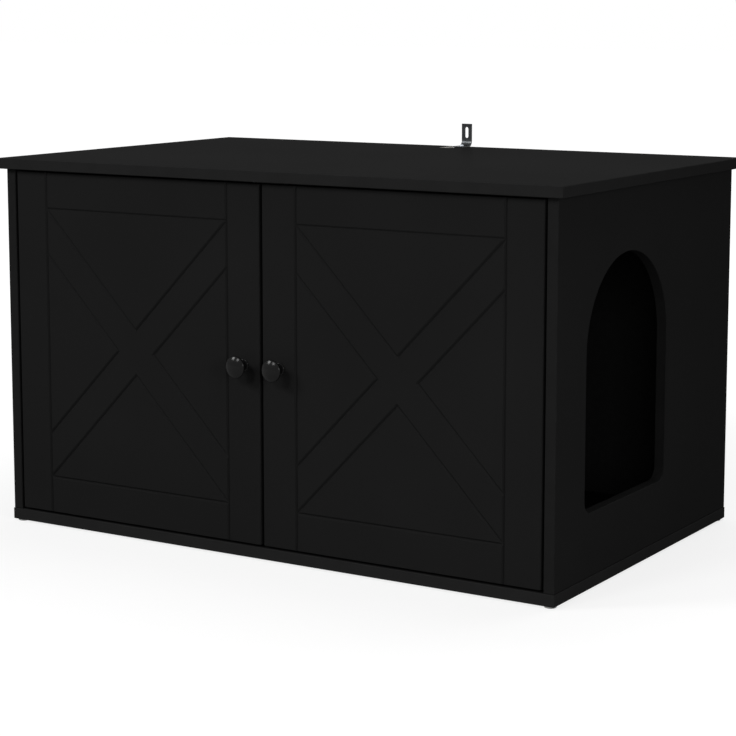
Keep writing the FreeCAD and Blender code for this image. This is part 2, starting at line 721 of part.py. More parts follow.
def arm_screw_places(z):
    """Where the side-adjusting screw and the fixing screw stand on the arm."""
    x = -SIDE_INNER + ARM_STANDOFF + SHEET / 2
    quarter = PLATE_LENGTH / 4
    return [point(x, PLATE_Y + side * quarter, z) for side in (-1, 1)]


def arm_screw_reach():
    """From the arm's outer face to a little short of the side panel."""
    return ARM_STANDOFF + SHEET / 2 - PLATE_THICKNESS


def arm_screw(seat):
    return headed_fixing(seat, X_AXIS * -1, WOOD_SCREW_RADIUS, arm_screw_reach(),
                         WOOD_SCREW_HEAD_RADIUS, WOOD_SCREW_HEAD_HEIGHT)


def hinge_plate(z):
    """A cross-shaped mounting plate with a raised rail that the arm sits on."""
    face = -SIDE_INNER
    rail_width = ARM_WIDTH - 2 * SHEET - 2 * PLATE_RAIL_CLEARANCE
    rail_top = face + ARM_STANDOFF - SHEET / 2
    rail = block((face, rail_top), centred(PLATE_Y, PLATE_LENGTH), centred(z, rail_width))
    wings = block(
        (face, face + PLATE_THICKNESS),
        centred(PLATE_Y, PLATE_WING_WIDTH),
        centred(z, PLATE_WING_SPAN),
    )
    corners = [
        edge for edge in wings.Edges
        if abs(edge.tangentAt(edge.FirstParameter).x) > math.cos(math.pi / 4)
    ]
    wings = wings.makeChamfer(PLATE_WING_WIDTH / 4, corners)
    cutters = [screw_hole(seat, X_AXIS * -1, arm_screw_reach()) for seat in arm_screw_places(z)]
    cutters += [screw_hole(seat, X_AXIS, PLATE_THICKNESS) for seat in plate_screw_places(z)]
    return join([rail, wings]).cut(cutters)


def plate_screw_places(z):
    return [
        point(-SIDE_INNER, PLATE_Y, z + side * PLATE_SCREW_SPACING / 2)
        for side in (1, -1)
    ]


def plate_screw_seats():
    return [seat for z in HINGE_HEIGHTS for seat in plate_screw_places(z)]


def plate_screw(seat):
    on_plate = seat + X_AXIS * PLATE_THICKNESS
    return headed_fixing(on_plate, X_AXIS * -1, WOOD_SCREW_RADIUS, WOOD_SCREW_REACH,
                         WOOD_SCREW_HEAD_RADIUS, WOOD_SCREW_HEAD_HEIGHT)


# ---- magnetic catch --------------------------------------------------------------
def catch_front():
    """The plane of the magnets' faces, just behind the strike plates."""
    return DOOR_BACK + STRIKE_THICKNESS + CATCH_GAP


def catch_screw_seats():
    x = CATCH_WIDTH / 2 + CATCH_LUG_LENGTH / 2
    y = catch_front() + MAGNET_PROJECTION + CATCH_DEPTH / 2
    return [point(side * x, y, TOP_BOTTOM) for side in (-1, 1)]


def catch_screw_reach():
    return WOOD_SCREW_REACH - CATCH_LUG_THICKNESS


def catch_housing():
    """A moulded housing under the top with a screw lug at each end."""
    front = catch_front() + MAGNET_PROJECTION
    body = block(centred(0, CATCH_WIDTH), (front, front + CATCH_DEPTH),
                 (CATCH_BOTTOM, TOP_BOTTOM))
    body = body.makeChamfer(ARRIS, body.Edges)
    lugs = block(centred(0, CATCH_WIDTH + 2 * CATCH_LUG_LENGTH),
                 centred(front + CATCH_DEPTH / 2, CATCH_DEPTH - 2 * CATCH_LUG_THICKNESS),
                 (TOP_BOTTOM - CATCH_LUG_THICKNESS, TOP_BOTTOM))
    housing = join([body, lugs])
    cutters = [magnet(side, FIT) for side in (-1, 1)]
    for seat in catch_screw_seats():
        cutters.append(screw_hole(seat, Z_AXIS * -1, CATCH_LUG_THICKNESS))
    return housing.cut(cutters)


def magnet(side, clearance=0.0):
    """One magnet with its pole plates, standing a little proud of the housing."""
    return block(
        centred(side * MAGNET_CENTRE_X, MAGNET_WIDTH + 2 * clearance),
        (catch_front(), catch_front() + MAGNET_DEPTH + clearance),
        centred(STRIKE_Z, MAGNET_HEIGHT + 2 * clearance),
    )


def catch_screw(seat):
    under_lug = seat - Z_AXIS * CATCH_LUG_THICKNESS
    return headed_fixing(under_lug, Z_AXIS, WOOD_SCREW_RADIUS, WOOD_SCREW_REACH,
                         WOOD_SCREW_HEAD_RADIUS, WOOD_SCREW_HEAD_HEIGHT)


def strike_screw_seat():
    return point(-MAGNET_CENTRE_X, DOOR_BACK, STRIKE_Z)


def left_strike():
    """A steel plate on the door's back, opposite the magnet, for the screw sunk in it."""
    seat = strike_screw_seat()
    plate = block(centred(seat.x, STRIKE_SIZE), (DOOR_BACK, DOOR_BACK + STRIKE_THICKNESS),
                  centred(seat.z, STRIKE_SIZE))
    under_head = seat + Y_AXIS * (STRIKE_THICKNESS - STRIKE_SCREW_HEAD_HEIGHT)
    sink = fixing_hole(under_head, Y_AXIS, STRIKE_SCREW_HEAD_RADIUS, STRIKE_SCREW_HEAD_HEIGHT,
                       sides=HEAD_SIDES)
    return plate.cut([sink, screw_hole(seat, Y_AXIS, STRIKE_THICKNESS)])


def left_strike_screw():
    under_head = strike_screw_seat() + Y_AXIS * (STRIKE_THICKNESS - STRIKE_SCREW_HEAD_HEIGHT)
    return headed_fixing(under_head, Y_AXIS * -1, WOOD_SCREW_RADIUS,
                         WOOD_SCREW_REACH - STRIKE_THICKNESS,
                         STRIKE_SCREW_HEAD_RADIUS, STRIKE_SCREW_HEAD_HEIGHT)


# ---- wall bracket ----------------------------------------------------------------
def bracket_screw_seat():
    return point(0, WALL - BRACKET_LEG / 2 - BRACKET_BEND / 2, TOP_TOP)


def bracket_screw_reach():
    return TOP_THICKNESS - 2 * HOLE_END


def wall_bracket():
    """A bent strip: a leg on the top, and an upright leg with a slot for the wall."""
    corner = point(0, WALL - BRACKET_THICKNESS / 2, TOP_TOP + BRACKET_THICKNESS / 2)
    path = bent_path([
        corner - Y_AXIS * (BRACKET_LEG - BRACKET_THICKNESS / 2),
        corner,
        corner + Z_AXIS * (BRACKET_HEIGHT - BRACKET_THICKNESS / 2),
    ], BRACKET_BEND)
    strip = path.makeOffset2D(BRACKET_THICKNESS / 2, 2, True)
    strip = strip.extrude(X_AXIS * BRACKET_WIDTH)
    strip.translate(X_AXIS * (-BRACKET_WIDTH / 2))
    keep = block(centred(0, BRACKET_WIDTH), (WALL - BRACKET_LEG, WALL),
                 (TOP_TOP, TOP_TOP + BRACKET_HEIGHT))
    bracket = strip.common(keep)
    hole = screw_hole(bracket_screw_seat(), Z_AXIS, BRACKET_THICKNESS)
    return bracket.cut([bracket_slot(), hole])


def bracket_slot():
    """The upright slot that takes the wall screw, with round ends."""
    rear = WALL + OVERCUT
    length = BRACKET_THICKNESS + 2 * OVERCUT
    half_straight = (SLOT_LENGTH - SLOT_WIDTH) / 2
    middle = TOP_TOP + SLOT_CENTRE_HEIGHT
    ends = [
        rod(SLOT_WIDTH / 2, point(0, rear, middle + side * half_straight), Y_AXIS * -1, length)
        for side in (-1, 1)
    ]
    straight = block(centred(0, SLOT_WIDTH), (rear - length, rear),
                     centred(middle, 2 * half_straight))
    return join(ends + [straight])


def bracket_screw():
    on_leg = bracket_screw_seat() + Z_AXIS * BRACKET_THICKNESS
    return headed_fixing(on_leg, Z_AXIS * -1, WOOD_SCREW_RADIUS,
                         bracket_screw_reach() + BRACKET_THICKNESS,
                         WOOD_SCREW_HEAD_RADIUS, WOOD_SCREW_HEAD_HEIGHT)


# ---- glides ----------------------------------------------------------------------
def glide_centres():
    x = SIDE_OUTER + BASE_LIP - GLIDE_INSET
    front = FRONT - BASE_LIP + GLIDE_INSET
    rear = REAR - GLIDE_INSET
    return [(side * x, y) for side in (-1, 1) for y in (front, rear)]


def glide(x, y):
    """A round plastic glide, recessed below for the head of its nail."""
    disc = rod(GLIDE_RADIUS, point(x, y, 0), Z_AXIS, GLIDE_HEIGHT)
    disc = disc.makeChamfer(GLIDE_CHAMFER, [
        edge for edge in disc.Edges if edge.BoundBox.ZMax < GLIDE_CHAMFER])
    seat = point(x, y, nail_seat())
    sink = fixing_hole(seat, Z_AXIS * -1, NAIL_HEAD_RADIUS, nail_seat(), sides=HEAD_SIDES)
    hole = fixing_hole(seat, Z_AXIS, NAIL_RADIUS, GLIDE_HEIGHT - nail_seat())
    return disc.cut([sink, hole])


def nail_seat():
    """The height of the shoulder under which a nail's head sits."""
    return GLIDE_HEIGHT / 2


def glide_nail(x, y):
    reach = GLIDE_HEIGHT - nail_seat() + NAIL_REACH
    return headed_fixing(point(x, y, nail_seat()), Z_AXIS, NAIL_RADIUS, reach,
                         NAIL_HEAD_RADIUS, NAIL_HEAD_HEIGHT)


# ---- the whole cabinet -----------------------------------------------------------
def carcass_nodes():
    rows = joint_rows()
    return {
        "top_panel": [top_panel()],
        "base_panel": [base_panel()],
        "left_side_panel": [plain_side()],
        "right_side_panel": [entrance_side()],
        "back_panel": [back_panel()],
        "cam_discs": both_sides(cam_disc(place, into) for place, into, _ in rows),
        "cam_bolts": both_sides(cam_bolt(place, into) for place, into, _ in rows),
        "wooden_dowels": both_sides(dowel(place, into, along) for place, into, along in rows),
        "catch_housing": [catch_housing()],
        "catch_magnets": [magnet(-1), magnet(1)],
        "catch_screws": [catch_screw(seat) for seat in catch_screw_seats()],
        "wall_bracket": [wall_bracket()],
        "bracket_screw": [bracket_screw()],
        "floor_glides": [glide(x, y) for x, y in glide_centres()],
        "glide_nails": [glide_nail(x, y) for x, y in glide_centres()],
    }


def left_door_nodes():
    """Each piece that hangs on, or carries, the left door."""
    return {
        "door": [left_door()],
        "knob": [left_knob()],
        "knob_screw": [left_knob_screw()],
        "strike_plate": [left_strike()],
        "strike_screw": [left_strike_screw()],
        "hinge_cups": [hinge_cup(z) for z in HINGE_HEIGHTS],
        "hinge_pins": [hinge_pin(z) for z in HINGE_HEIGHTS],
        "cup_screws": [cup_screw(seat) for seat in cup_screw_seats()],
        "hinge_arms": [hinge_arm(z) for z in HINGE_HEIGHTS],
        "arm_screws": [arm_screw(s) for z in HINGE_HEIGHTS for s in arm_screw_places(z)],
        "hinge_plates": [hinge_plate(z) for z in HINGE_HEIGHTS],
        "plate_screws": [plate_screw(seat) for seat in plate_screw_seats()],
    }


def all_nodes():
    nodes = carcass_nodes()
    for name, solids in left_door_nodes().items():
        nodes["left_" + name] = solids
        nodes["right_" + name] = [mirrored(solid) for solid in solids]
    return nodes


def main():
    os.makedirs("parts", exist_ok=True)
    for name, shapes in all_nodes().items():
        solids = [solid for shape in shapes for solid in shape.Solids]
        whole = solids[0] if len(solids) == 1 else Part.makeCompound(solids)
        whole.exportStep("parts/" + name + ".step")
        print(name, len(solids), "solids", round(whole.Volume / 1000, 1), "cm3",
              "valid" if whole.isValid() else "NOT VALID")


main()
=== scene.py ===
# %% [markdown]
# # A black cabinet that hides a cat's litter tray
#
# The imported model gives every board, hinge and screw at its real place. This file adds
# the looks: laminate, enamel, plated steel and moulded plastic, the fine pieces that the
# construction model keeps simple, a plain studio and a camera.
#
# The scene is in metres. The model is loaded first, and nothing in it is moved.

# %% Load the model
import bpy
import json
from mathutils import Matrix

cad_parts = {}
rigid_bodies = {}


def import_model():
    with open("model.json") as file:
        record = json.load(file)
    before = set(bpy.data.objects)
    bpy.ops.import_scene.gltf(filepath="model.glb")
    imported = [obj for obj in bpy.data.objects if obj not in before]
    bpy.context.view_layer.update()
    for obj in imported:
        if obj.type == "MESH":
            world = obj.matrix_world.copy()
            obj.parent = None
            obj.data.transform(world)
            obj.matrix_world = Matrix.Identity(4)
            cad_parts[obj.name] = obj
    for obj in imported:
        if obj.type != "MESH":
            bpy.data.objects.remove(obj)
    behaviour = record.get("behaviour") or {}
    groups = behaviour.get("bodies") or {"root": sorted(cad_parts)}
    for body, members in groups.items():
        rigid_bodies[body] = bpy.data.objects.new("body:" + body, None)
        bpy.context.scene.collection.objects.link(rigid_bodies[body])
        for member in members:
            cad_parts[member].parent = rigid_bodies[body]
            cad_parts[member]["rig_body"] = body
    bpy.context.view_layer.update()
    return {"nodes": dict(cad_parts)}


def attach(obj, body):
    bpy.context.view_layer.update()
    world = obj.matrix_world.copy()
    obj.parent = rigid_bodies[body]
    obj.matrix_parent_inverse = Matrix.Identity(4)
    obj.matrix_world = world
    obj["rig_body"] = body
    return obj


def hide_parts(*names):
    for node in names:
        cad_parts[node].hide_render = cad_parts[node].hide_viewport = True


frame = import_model()

# %% [markdown]
# Blender's own modules come next: bpy makes objects and finishes, bmesh makes and cuts
# meshes, and mathutils holds points and turns. The fine pieces are drawn in millimetres,
# as a maker draws them, and MM turns those into metres.

# %% Blender's modules
import bpy
import bmesh
import json
import math
from mathutils import Matrix, Vector

MM = 0.001
print("Blender", bpy.app.version_string)

# %% [markdown]
# ## The camera
#
# The picture was taken from the front right, a little above the top, with a long lens,
# which keeps the far end of the cabinet almost as tall as the near end. A camera could be
# aimed with a constraint that tracks the cabinet, but plain numbers are easier to try out.
# A part of the tilt is done with the lens shift, which holds the uprights nearly parallel.
# A larger shift would push the cabinet off the middle in every other view.

# %% Make the camera
CAMERA_PLACE = Vector((1.5793, -2.5436, 0.7442))
CAMERA_TURN = math.radians(31.81)      # to the left of straight back
CAMERA_TILT = math.radians(7.82)       # downwards
LEVEL = math.radians(90)               # a camera looks straight down until it is tipped up
LENS = 102.9                           # millimetres, as the sensor's width is
SENSOR_WIDTH = 36
LENS_SHIFT = -0.1                      # in widths of the picture

camera_data = bpy.data.cameras.new("camera")
camera_data.sensor_width = SENSOR_WIDTH
camera_data.lens = LENS
camera_data.shift_y = LENS_SHIFT
camera = bpy.data.objects.new("camera", camera_data)
camera.location = CAMERA_PLACE
camera.rotation_euler = (LEVEL - CAMERA_TILT, 0, CAMERA_TURN)
bpy.context.scene.collection.objects.link(camera)
bpy.context.scene.camera = camera
print("camera at", [round(v, 3) for v in CAMERA_PLACE], "lens", LENS)

# %% [markdown]
# ## A small kit for finishes
#
# A finish is a group of shader nodes. It could be wired by hand in the node editor, but
# written out it can be read, repeated and changed in one place. One helper starts a finish
# with its main shader, and one adds a node with its settings and inputs. An input is a
# plain value, or the output of another node, which is then linked.

# %% Helpers for finishes
def start_finish(name, **settings):
    """A new material. The settings are plain values on the main shader."""
    material = bpy.data.materials.new(name)
    material.use_nodes = True
    shader = material.node_tree.nodes["Principled BSDF"]
    for socket, value in settings.items():
        shader.inputs[socket.replace("_", " ")].default_value = value
    return material, shader


def node(material, kind, inputs=None, **settings):
    """Adds a node to a material, or to the world, which has a node tree too."""
    made = material.node_tree.nodes.new(kind)
    for name, value in settings.items():
        setattr(made, name, value)
    for socket, value in (inputs or {}).items():
        feed(material, made.inputs[socket], value)
    return made


def feed(material, socket, value):
    """Sets an input, or links it to another node's output."""
    if isinstance(value, bpy.types.NodeSocket):
        material.node_tree.links.new(value, socket)
    else:
        socket.default_value = value


def maths(material, operation, first, second):
    """A sum on two numbers, such as MULTIPLY, or a test such as LESS_THAN, 1 if true."""
    return node(material, "ShaderNodeMath", {0: first, 1: second}, operation=operation).outputs[0]


# %% [markdown]
# Colours are written as they look on a screen, from 0 to 255, because that is how they are
# read off a picture. Blender mixes light itself, so each level is first turned into an
# amount of light. The screen's curve is steep at the dark end, and this cabinet is all
# dark end: level 27 is a tenth of the way up the screen, but only a hundredth of the light.

# %% Helpers for colours
def grey(level):
    """A neutral colour from a screen level of 0 to 255."""
    fraction = level / 255
    linear = fraction / 12.92 if fraction <= 0.04045 else ((fraction + 0.055) / 1.055) ** 2.4
    return (linear, linear, linear, 1)


def tint(red, green, blue):
    """A colour from screen levels of 0 to 255."""
    return (grey(red)[0], grey(green)[0], grey(blue)[0], 1)


print("level 27 is", round(grey(27)[0], 4), "of the light of white")

# %% [markdown]
# Patterns are laid in the piece's own space, so they ride along when a door opens. The
# next helpers make the patterns that come back in several finishes: a cloudy drift of
# tone, a fine relief, a soft edge and a colour that runs between two tones. A noise pattern
# keeps mostly between 0.3 and 0.7, so that is the span that is usually stretched to 0 to 1.

# %% Helpers for patterns
def own_space(material):
    """The place of each point in the piece's own space, in metres."""
    return node(material, "ShaderNodeTexCoord").outputs["Object"]


def cloud(material, per_metre, detail=2.0, roughness=0.5, stretch=(1, 1, 1)):
    """A soft random pattern of 0 to 1, with so many blobs to the metre."""
    stretched = node(material, "ShaderNodeMapping", {
        "Vector": own_space(material), "Scale": stretch})
    pattern = node(material, "ShaderNodeTexNoise", {
        "Vector": stretched.outputs["Vector"], "Scale": per_metre,
        "Detail": detail, "Roughness": roughness})
    return pattern.outputs["Fac"]


def between(material, factor, low, high, from_low=0.3, from_high=0.7):
    """A number that runs from low to high as the factor crosses its span."""
    ranged = node(material, "ShaderNodeMapRange", {
        "Value": factor, "From Min": from_low, "From Max": from_high,
        "To Min": low, "To Max": high})
    return ranged.outputs["Result"]


# %% Helpers for tones and edges
MIX_FIRST, MIX_SECOND, MIX_RESULT = 6, 7, 2     # a Mix node's colour sockets


def mixed(material, factor, first, second):
    """The first colour where the factor is 0, and the second where it is 1."""
    mix = node(material, "ShaderNodeMix", {
        "Factor": factor, MIX_FIRST: first, MIX_SECOND: second}, data_type="RGBA")
    return mix.outputs[MIX_RESULT]


def drifting(material, pattern, first, second):
    """A colour that drifts between two as the pattern rises."""
    return mixed(material, between(material, pattern, 0, 1), first, second)


def rounded(material, radius, samples=4):
    """The way a face looks, as if its edges were rounded to that radius."""
    return node(material, "ShaderNodeBevel", {"Radius": radius}, samples=samples).outputs[0]


def relief(material, height, depth, under=None):
    """Turns a pattern into a relief of that depth in metres."""
    bump = node(material, "ShaderNodeBump", {"Height": height, "Distance": depth})
    if under is not None:
        feed(material, bump.inputs["Normal"], under)
    return bump.outputs["Normal"]


# %% [markdown]
# ## Black laminate
#
# The boards are pressed from wood chips and covered with black paper in hard resin. The
# press plate leaves a fine pebbled skin, so the board is matt and has only a faint sheen at
# a low angle. The thin edges are closed with a strip of plastic tape, which is a shade
# paler. The corners are paler still: partly a scraped hair line where the tape is trimmed,
# partly a painted highlight where a sharp edge would catch the lamps.
#
# The tape could be a strip of its own, but it lies flush with the board, so the finish
# finds it by the way that a face looks. It finds the paler corners, scraped and with a
# painted highlight, by how far a rounded edge turns away from the flat face.

# %% Which way a face looks, and where its edges are
EDGE_LIKENESS = 0.75    # how alike the rounded and the flat way are on a sharp edge
FLAT_LIKENESS = 0.99    # and where the flat face starts


def faces_along(material, axis, least):
    """1 on faces that look along the piece's own axis (0, 1 or 2), either way, else 0."""
    direction = node(material, "ShaderNodeTexCoord").outputs["Normal"]
    unsigned = node(material, "ShaderNodeVectorMath", {0: direction}, operation="ABSOLUTE")
    parts = node(material, "ShaderNodeSeparateXYZ", {0: unsigned.outputs["Vector"]})
    return maths(material, "GREATER_THAN", parts.outputs[axis], least)


def worn_and_highlit_edge(material, width):
    """0 on flat faces, up to 1 on sharp edges: wear from hands and cloths, and painted highlight.
    """
    flat = node(material, "ShaderNodeNewGeometry").outputs["Normal"]
    likeness = node(material, "ShaderNodeVectorMath", {
        0: rounded(material, width, samples=6), 1: flat}, operation="DOT_PRODUCT")
    return between(material, likeness.outputs["Value"], 1.0, 0.0, EDGE_LIKENESS, FLAT_LIKENESS)


# %% [markdown]
# Black this deep leaves no room for an ordinary gloss, which would mirror the white studio
# and turn the board grey. So the main shader's gloss is off, and a very thin coat gives the
# sheen, because the weight of a coat scales all of it, from any angle.

# %% Black laminate for the boards
RUB_AND_HIGHLIGHT_PALER = 10          # how much paler a corner is, scraped and with a painted highlight, in screen levels
RUB_AND_HIGHLIGHT_WIDTH = 0.9 * MM
PEBBLES_PER_METRE = 1100
PEBBLE_DEPTH = 0.05 * MM


def black_laminate(name, level, axis, tape_paler_with_painted_light, least=0.8, rub_and_highlight=0.8, under=None):
    """Laminate along the axis, and on the other faces an edge strip lifted partly by painted
    light.
    """
    material, shader = start_finish(
        name, Specular_IOR_Level=0.0, Coat_Weight=0.02, Coat_Roughness=0.35)
    drift = cloud(material, 5, detail=3)
    paper = drifting(material, drift, grey(level - 1), grey(level + 1))
    # The edge strip's lift is partly a real paler strip and partly painted light, set board by
    # board.
    tape_level_with_painted_light = level + tape_paler_with_painted_light
    tape_tone_with_painted_light = drifting(material, cloud(material, 30), grey(tape_level_with_painted_light - 1), grey(tape_level_with_painted_light + 1))
    tone = mixed(material, faces_along(material, axis, least), tape_tone_with_painted_light, paper)
    # Paler corners: partly scraped wear, partly a painted highlight along the edges.
    scrapes_and_highlights = between(material, cloud(material, 60), 0.1, rub_and_highlight)
    scraped_and_highlit = maths(material, "MULTIPLY", worn_and_highlit_edge(material, RUB_AND_HIGHLIGHT_WIDTH), scrapes_and_highlights)
    colour = mixed(material, scraped_and_highlit, tone, grey(level + RUB_AND_HIGHLIGHT_PALER))
    feed(material, shader.inputs["Base Color"], colour)
    feed(material, shader.inputs["Roughness"], between(material, drift, 0.50, 0.62))
    pebbles = cloud(material, PEBBLES_PER_METRE, detail=1.5, roughness=0.55)
    start = under(material) if under else None
    feed(material, shader.inputs["Normal"], relief(material, pebbles, PEBBLE_DEPTH, start))
    return material


# The top's paper is a level paler than the others' as painted light, and each board's edge strip
# is lifted by its own amount, partly real and partly painted light.
top_board = black_laminate("top_board_laminate", 28, axis=2, tape_paler_with_painted_light=4)
base_board = black_laminate("base_board_laminate", 27, axis=2, tape_paler_with_painted_light=7)
upright_board = black_laminate("upright_board_laminate", 27, axis=0, tape_paler_with_painted_light=1)
print("laminates", top_board.name, base_board.name, upright_board.name)

# %% [markdown]
# The cable notch is sawn after the board is covered, so its walls show the bare chips of
# the core. Those faces could wear a second material, but the model's meshes aren't edited
# here. So the board's own finish finds them: they look sideways, inside a box round the
# notch.

# %% Bare chips in the cable notch
NOTCH_LOW = Vector((-0.0255, 0.2470, 0.50))     # half a millimetre outside the notch
NOTCH_HIGH = Vector((-0.0045, 0.2935, 0.60))
CHIPS_PER_METRE = 700
CHIP_TONES = tint(186, 183, 177), tint(232, 230, 225)
UP = 2                  # the axis that the board's own two faces look along


def inside(material, low, high):
    """1 inside a box in the piece's own space, else 0."""
    parts = node(material, "ShaderNodeSeparateXYZ", {0: own_space(material)})
    found = 1.0
    for corner, test in ((low, "GREATER_THAN"), (high, "LESS_THAN")):
        for axis in range(3):
            passed = maths(material, test, parts.outputs[axis], corner[axis])
            found = maths(material, "MULTIPLY", found, passed)
    return found


def bare_notch(material):
    """Lays bare chips over the finish's own colour, on the notch's walls only."""
    shader = material.node_tree.nodes["Principled BSDF"]
    covered = shader.inputs["Base Color"].links[0].from_socket
    chips = drifting(material, cloud(material, CHIPS_PER_METRE, detail=4), *CHIP_TONES)
    sideways = maths(material, "SUBTRACT", 1.0, faces_along(material, UP, 0.5))
    bare = maths(material, "MULTIPLY", sideways, inside(material, NOTCH_LOW, NOTCH_HIGH))
    feed(material, shader.inputs["Base Color"], mixed(material, bare, covered, chips))


bare_notch(top_board)
print("notch bared from", tuple(NOTCH_LOW), "to", tuple(NOTCH_HIGH))

# %% [markdown]
# The doors are routed first and then wrapped in a film that is sucked down into the
# grooves. There is no tape in a groove, so a groove's slope counts as the face, and the
# film's corners are soft, hardly scraped and given little of the painted corner highlight.
# The film also bridges the bottom of a groove, so its slopes look gentler than the cutter
# left them. The door's shape is the model's, so only the shading changes: the parts of its
# direction that run across the door are made smaller, which makes a slope gentler and
# leaves the flat faces and straight edges alone.

# %% Black film for the doors
FILM_SOFTNESS = 0.8 * MM
FILM_SLOPE = 0.32       # how much of the routed slope still shows


def in_other_space(material, direction, start, end):
    """The same direction in another space, WORLD or the piece's own, OBJECT."""
    return node(material, "ShaderNodeVectorTransform", {0: direction},
                vector_type="NORMAL", convert_from=start, convert_to=end).outputs[0]


def film_over_grooves(material):
    """The soft way a face looks, with the grooves' slopes made gentler."""
    soft = rounded(material, FILM_SOFTNESS, samples=6)
    own = in_other_space(material, soft, "WORLD", "OBJECT")
    gentler = node(material, "ShaderNodeVectorMath", {
        0: own, 1: (FILM_SLOPE, 1.0, FILM_SLOPE)}, operation="MULTIPLY")
    unit = node(material, "ShaderNodeVectorMath", {0: gentler.outputs[0]}, operation="NORMALIZE")
    return in_other_space(material, unit.outputs[0], "OBJECT", "WORLD")


door_film = black_laminate("door_film", 27, axis=1, tape_paler_with_painted_light=1, least=0.5, rub_and_highlight=0.15,
                           under=film_over_grooves)
print("film", door_film.name)

# %% [markdown]
# The boards of the model have the right shape already, so they are kept and only dressed.
# A mesh holds its finishes in material slots. They are emptied and the new finish is put
# in, which leaves the mesh and its place as they are.

# %% Dress the boards
def dress(material, *names):
    """Gives the model's own pieces a finish."""
    for name in names:
        slots = frame["nodes"][name].data.materials
        slots.clear()
        slots.append(material)
    print(material.name, "on", *names)


dress(top_board, "top_panel")
dress(base_board, "base_panel")
dress(upright_board, "left_side_panel", "right_side_panel")
dress(door_film, "left_door", "right_door")

# %% [markdown]
# ## The back
#
# The back is thin hardboard in a groove. Its inner face is painted dark grey, a few levels
# paler than the boards; that lift is painted light, which brightens the dim inside. Its rear
# face is raw and carries the print of the wire screen that it was pressed on, a fine square
# weave. The weave is far too fine to model, so two wave patterns at right angles are
# multiplied and used as a relief, on the rear face only.

# %% Hardboard
WEAVE_PER_METRE = 130
WEAVE_DEPTH = 0.12 * MM
# The inner face's grey is dark paint lifted by painted light for the dim inside.
BACK_PAINT_WITH_PAINTED_LIGHT = grey(34), grey(38)
RAW_FIBRES = tint(47, 39, 33), tint(60, 49, 41)


def hardboard():
    """Painted dark grey where the board looks forward, lifted by painted light, and raw with a
    weave where it looks back.
    """
    material, shader = start_finish("hardboard", Specular_IOR_Level=0.0, Coat_Weight=0.01)
    weave = 1.0
    for direction in ("X", "Z"):
        wires = node(material, "ShaderNodeTexWave", {
            "Vector": own_space(material), "Scale": WEAVE_PER_METRE, "Distortion": 0.6},
            bands_direction=direction)
        weave = maths(material, "MULTIPLY", weave, wires.outputs["Fac"])
    looks = node(material, "ShaderNodeTexCoord").outputs["Normal"]
    parts = node(material, "ShaderNodeSeparateXYZ", {0: looks})
    rear = maths(material, "GREATER_THAN", parts.outputs["Y"], 0.5)
    fibres = between(material, cloud(material, 90, detail=4), 0, 1)
    inner_paint_with_painted_light = mixed(material, fibres, *BACK_PAINT_WITH_PAINTED_LIGHT)
    raw = mixed(material, fibres, *RAW_FIBRES)
    feed(material, shader.inputs["Base Color"], mixed(material, rear, inner_paint_with_painted_light, raw))
    feed(material, shader.inputs["Roughness"], between(material, fibres, 0.7, 0.85, 0, 1))
    pressed = maths(material, "MULTIPLY", weave, rear)
    feed(material, shader.inputs["Normal"], relief(material, pressed, WEAVE_DEPTH))
    return material


dress(hardboard(), "back_panel")

# %% [markdown]
# ## Metals
#
# Zinc and nickel are plated on pressed or turned steel, and the wall bracket is steel
# blackened in a hot bath. No plating is even: the colour drifts a little, the roughness
# varies, and tools leave fine lines. The edges could be rounded in the mesh, but at this
# size it is enough to round their shading, so that each edge catches a thin light.

# %% Plated metal
ZINC_TONES = tint(176, 181, 188), tint(201, 205, 210)
NICKEL_TONES = tint(190, 186, 178), tint(214, 211, 204)
BLACKENED_TONES = tint(54, 56, 58), tint(72, 74, 75)
ALONG = (1, 1, 0.12)    # draws a pattern out into lines along Z
TOOL_MARK_DEPTH = 0.004 * MM


def plated(name, tones, smooth, rough, lines_per_metre, edge=0.2 * MM):
    """A metal whose roughness runs from smooth to rough, with soft edges."""
    material, shader = start_finish(name, Metallic=1.0)
    stain = cloud(material, 160, detail=4)
    feed(material, shader.inputs["Base Color"], drifting(material, stain, *tones))
    lines = cloud(material, lines_per_metre, detail=2, stretch=ALONG)
    feed(material, shader.inputs["Roughness"], between(material, lines, smooth, rough))
    feed(material, shader.inputs["Normal"],
         relief(material, lines, TOOL_MARK_DEPTH, rounded(material, edge)))
    return material


zinc = plated("zinc_plating", ZINC_TONES, 0.34, 0.50, 900)
nickel = plated("nickel_plating", NICKEL_TONES, 0.30, 0.44, 1400)
bracket_steel = plated("black_oxide", BLACKENED_TONES, 0.24, 0.34, 700, edge=0.4 * MM)
for side in ("left", "right"):
    dress(nickel, *[side + "_hinge_" + piece for piece in ("cups", "pins", "arms", "plates")])
    dress(zinc, side + "_strike_plate")

# %% [markdown]
# ## Enamel
#
# The knobs are turned metal under thick black enamel, which flows out smooth with a slight
# ripple. As on the boards, a thin coat gives the gloss in place of the main shader's, and
# the ripple bends the coat too, so that the lamps show in it a little unsteadily.

# %% Enamel
RIPPLES_PER_METRE = 350
RIPPLE_DEPTH = 0.02 * MM


def enamel(level):
    """Black enamel of about that screen level."""
    material, shader = start_finish(
        "knob_enamel", Specular_IOR_Level=0.0, Coat_Weight=0.2, Coat_Roughness=0.16)
    film = cloud(material, 60, detail=3)
    feed(material, shader.inputs["Base Color"],
         drifting(material, film, grey(level - 1), grey(level + 2)))
    feed(material, shader.inputs["Roughness"], between(material, film, 0.3, 0.4))
    wavy = relief(material, cloud(material, RIPPLES_PER_METRE, detail=1), RIPPLE_DEPTH)
    feed(material, shader.inputs["Normal"], wavy)
    feed(material, shader.inputs["Coat Normal"], wavy)
    return material


knob_enamel = enamel(16)
print("enamel", knob_enamel.name)

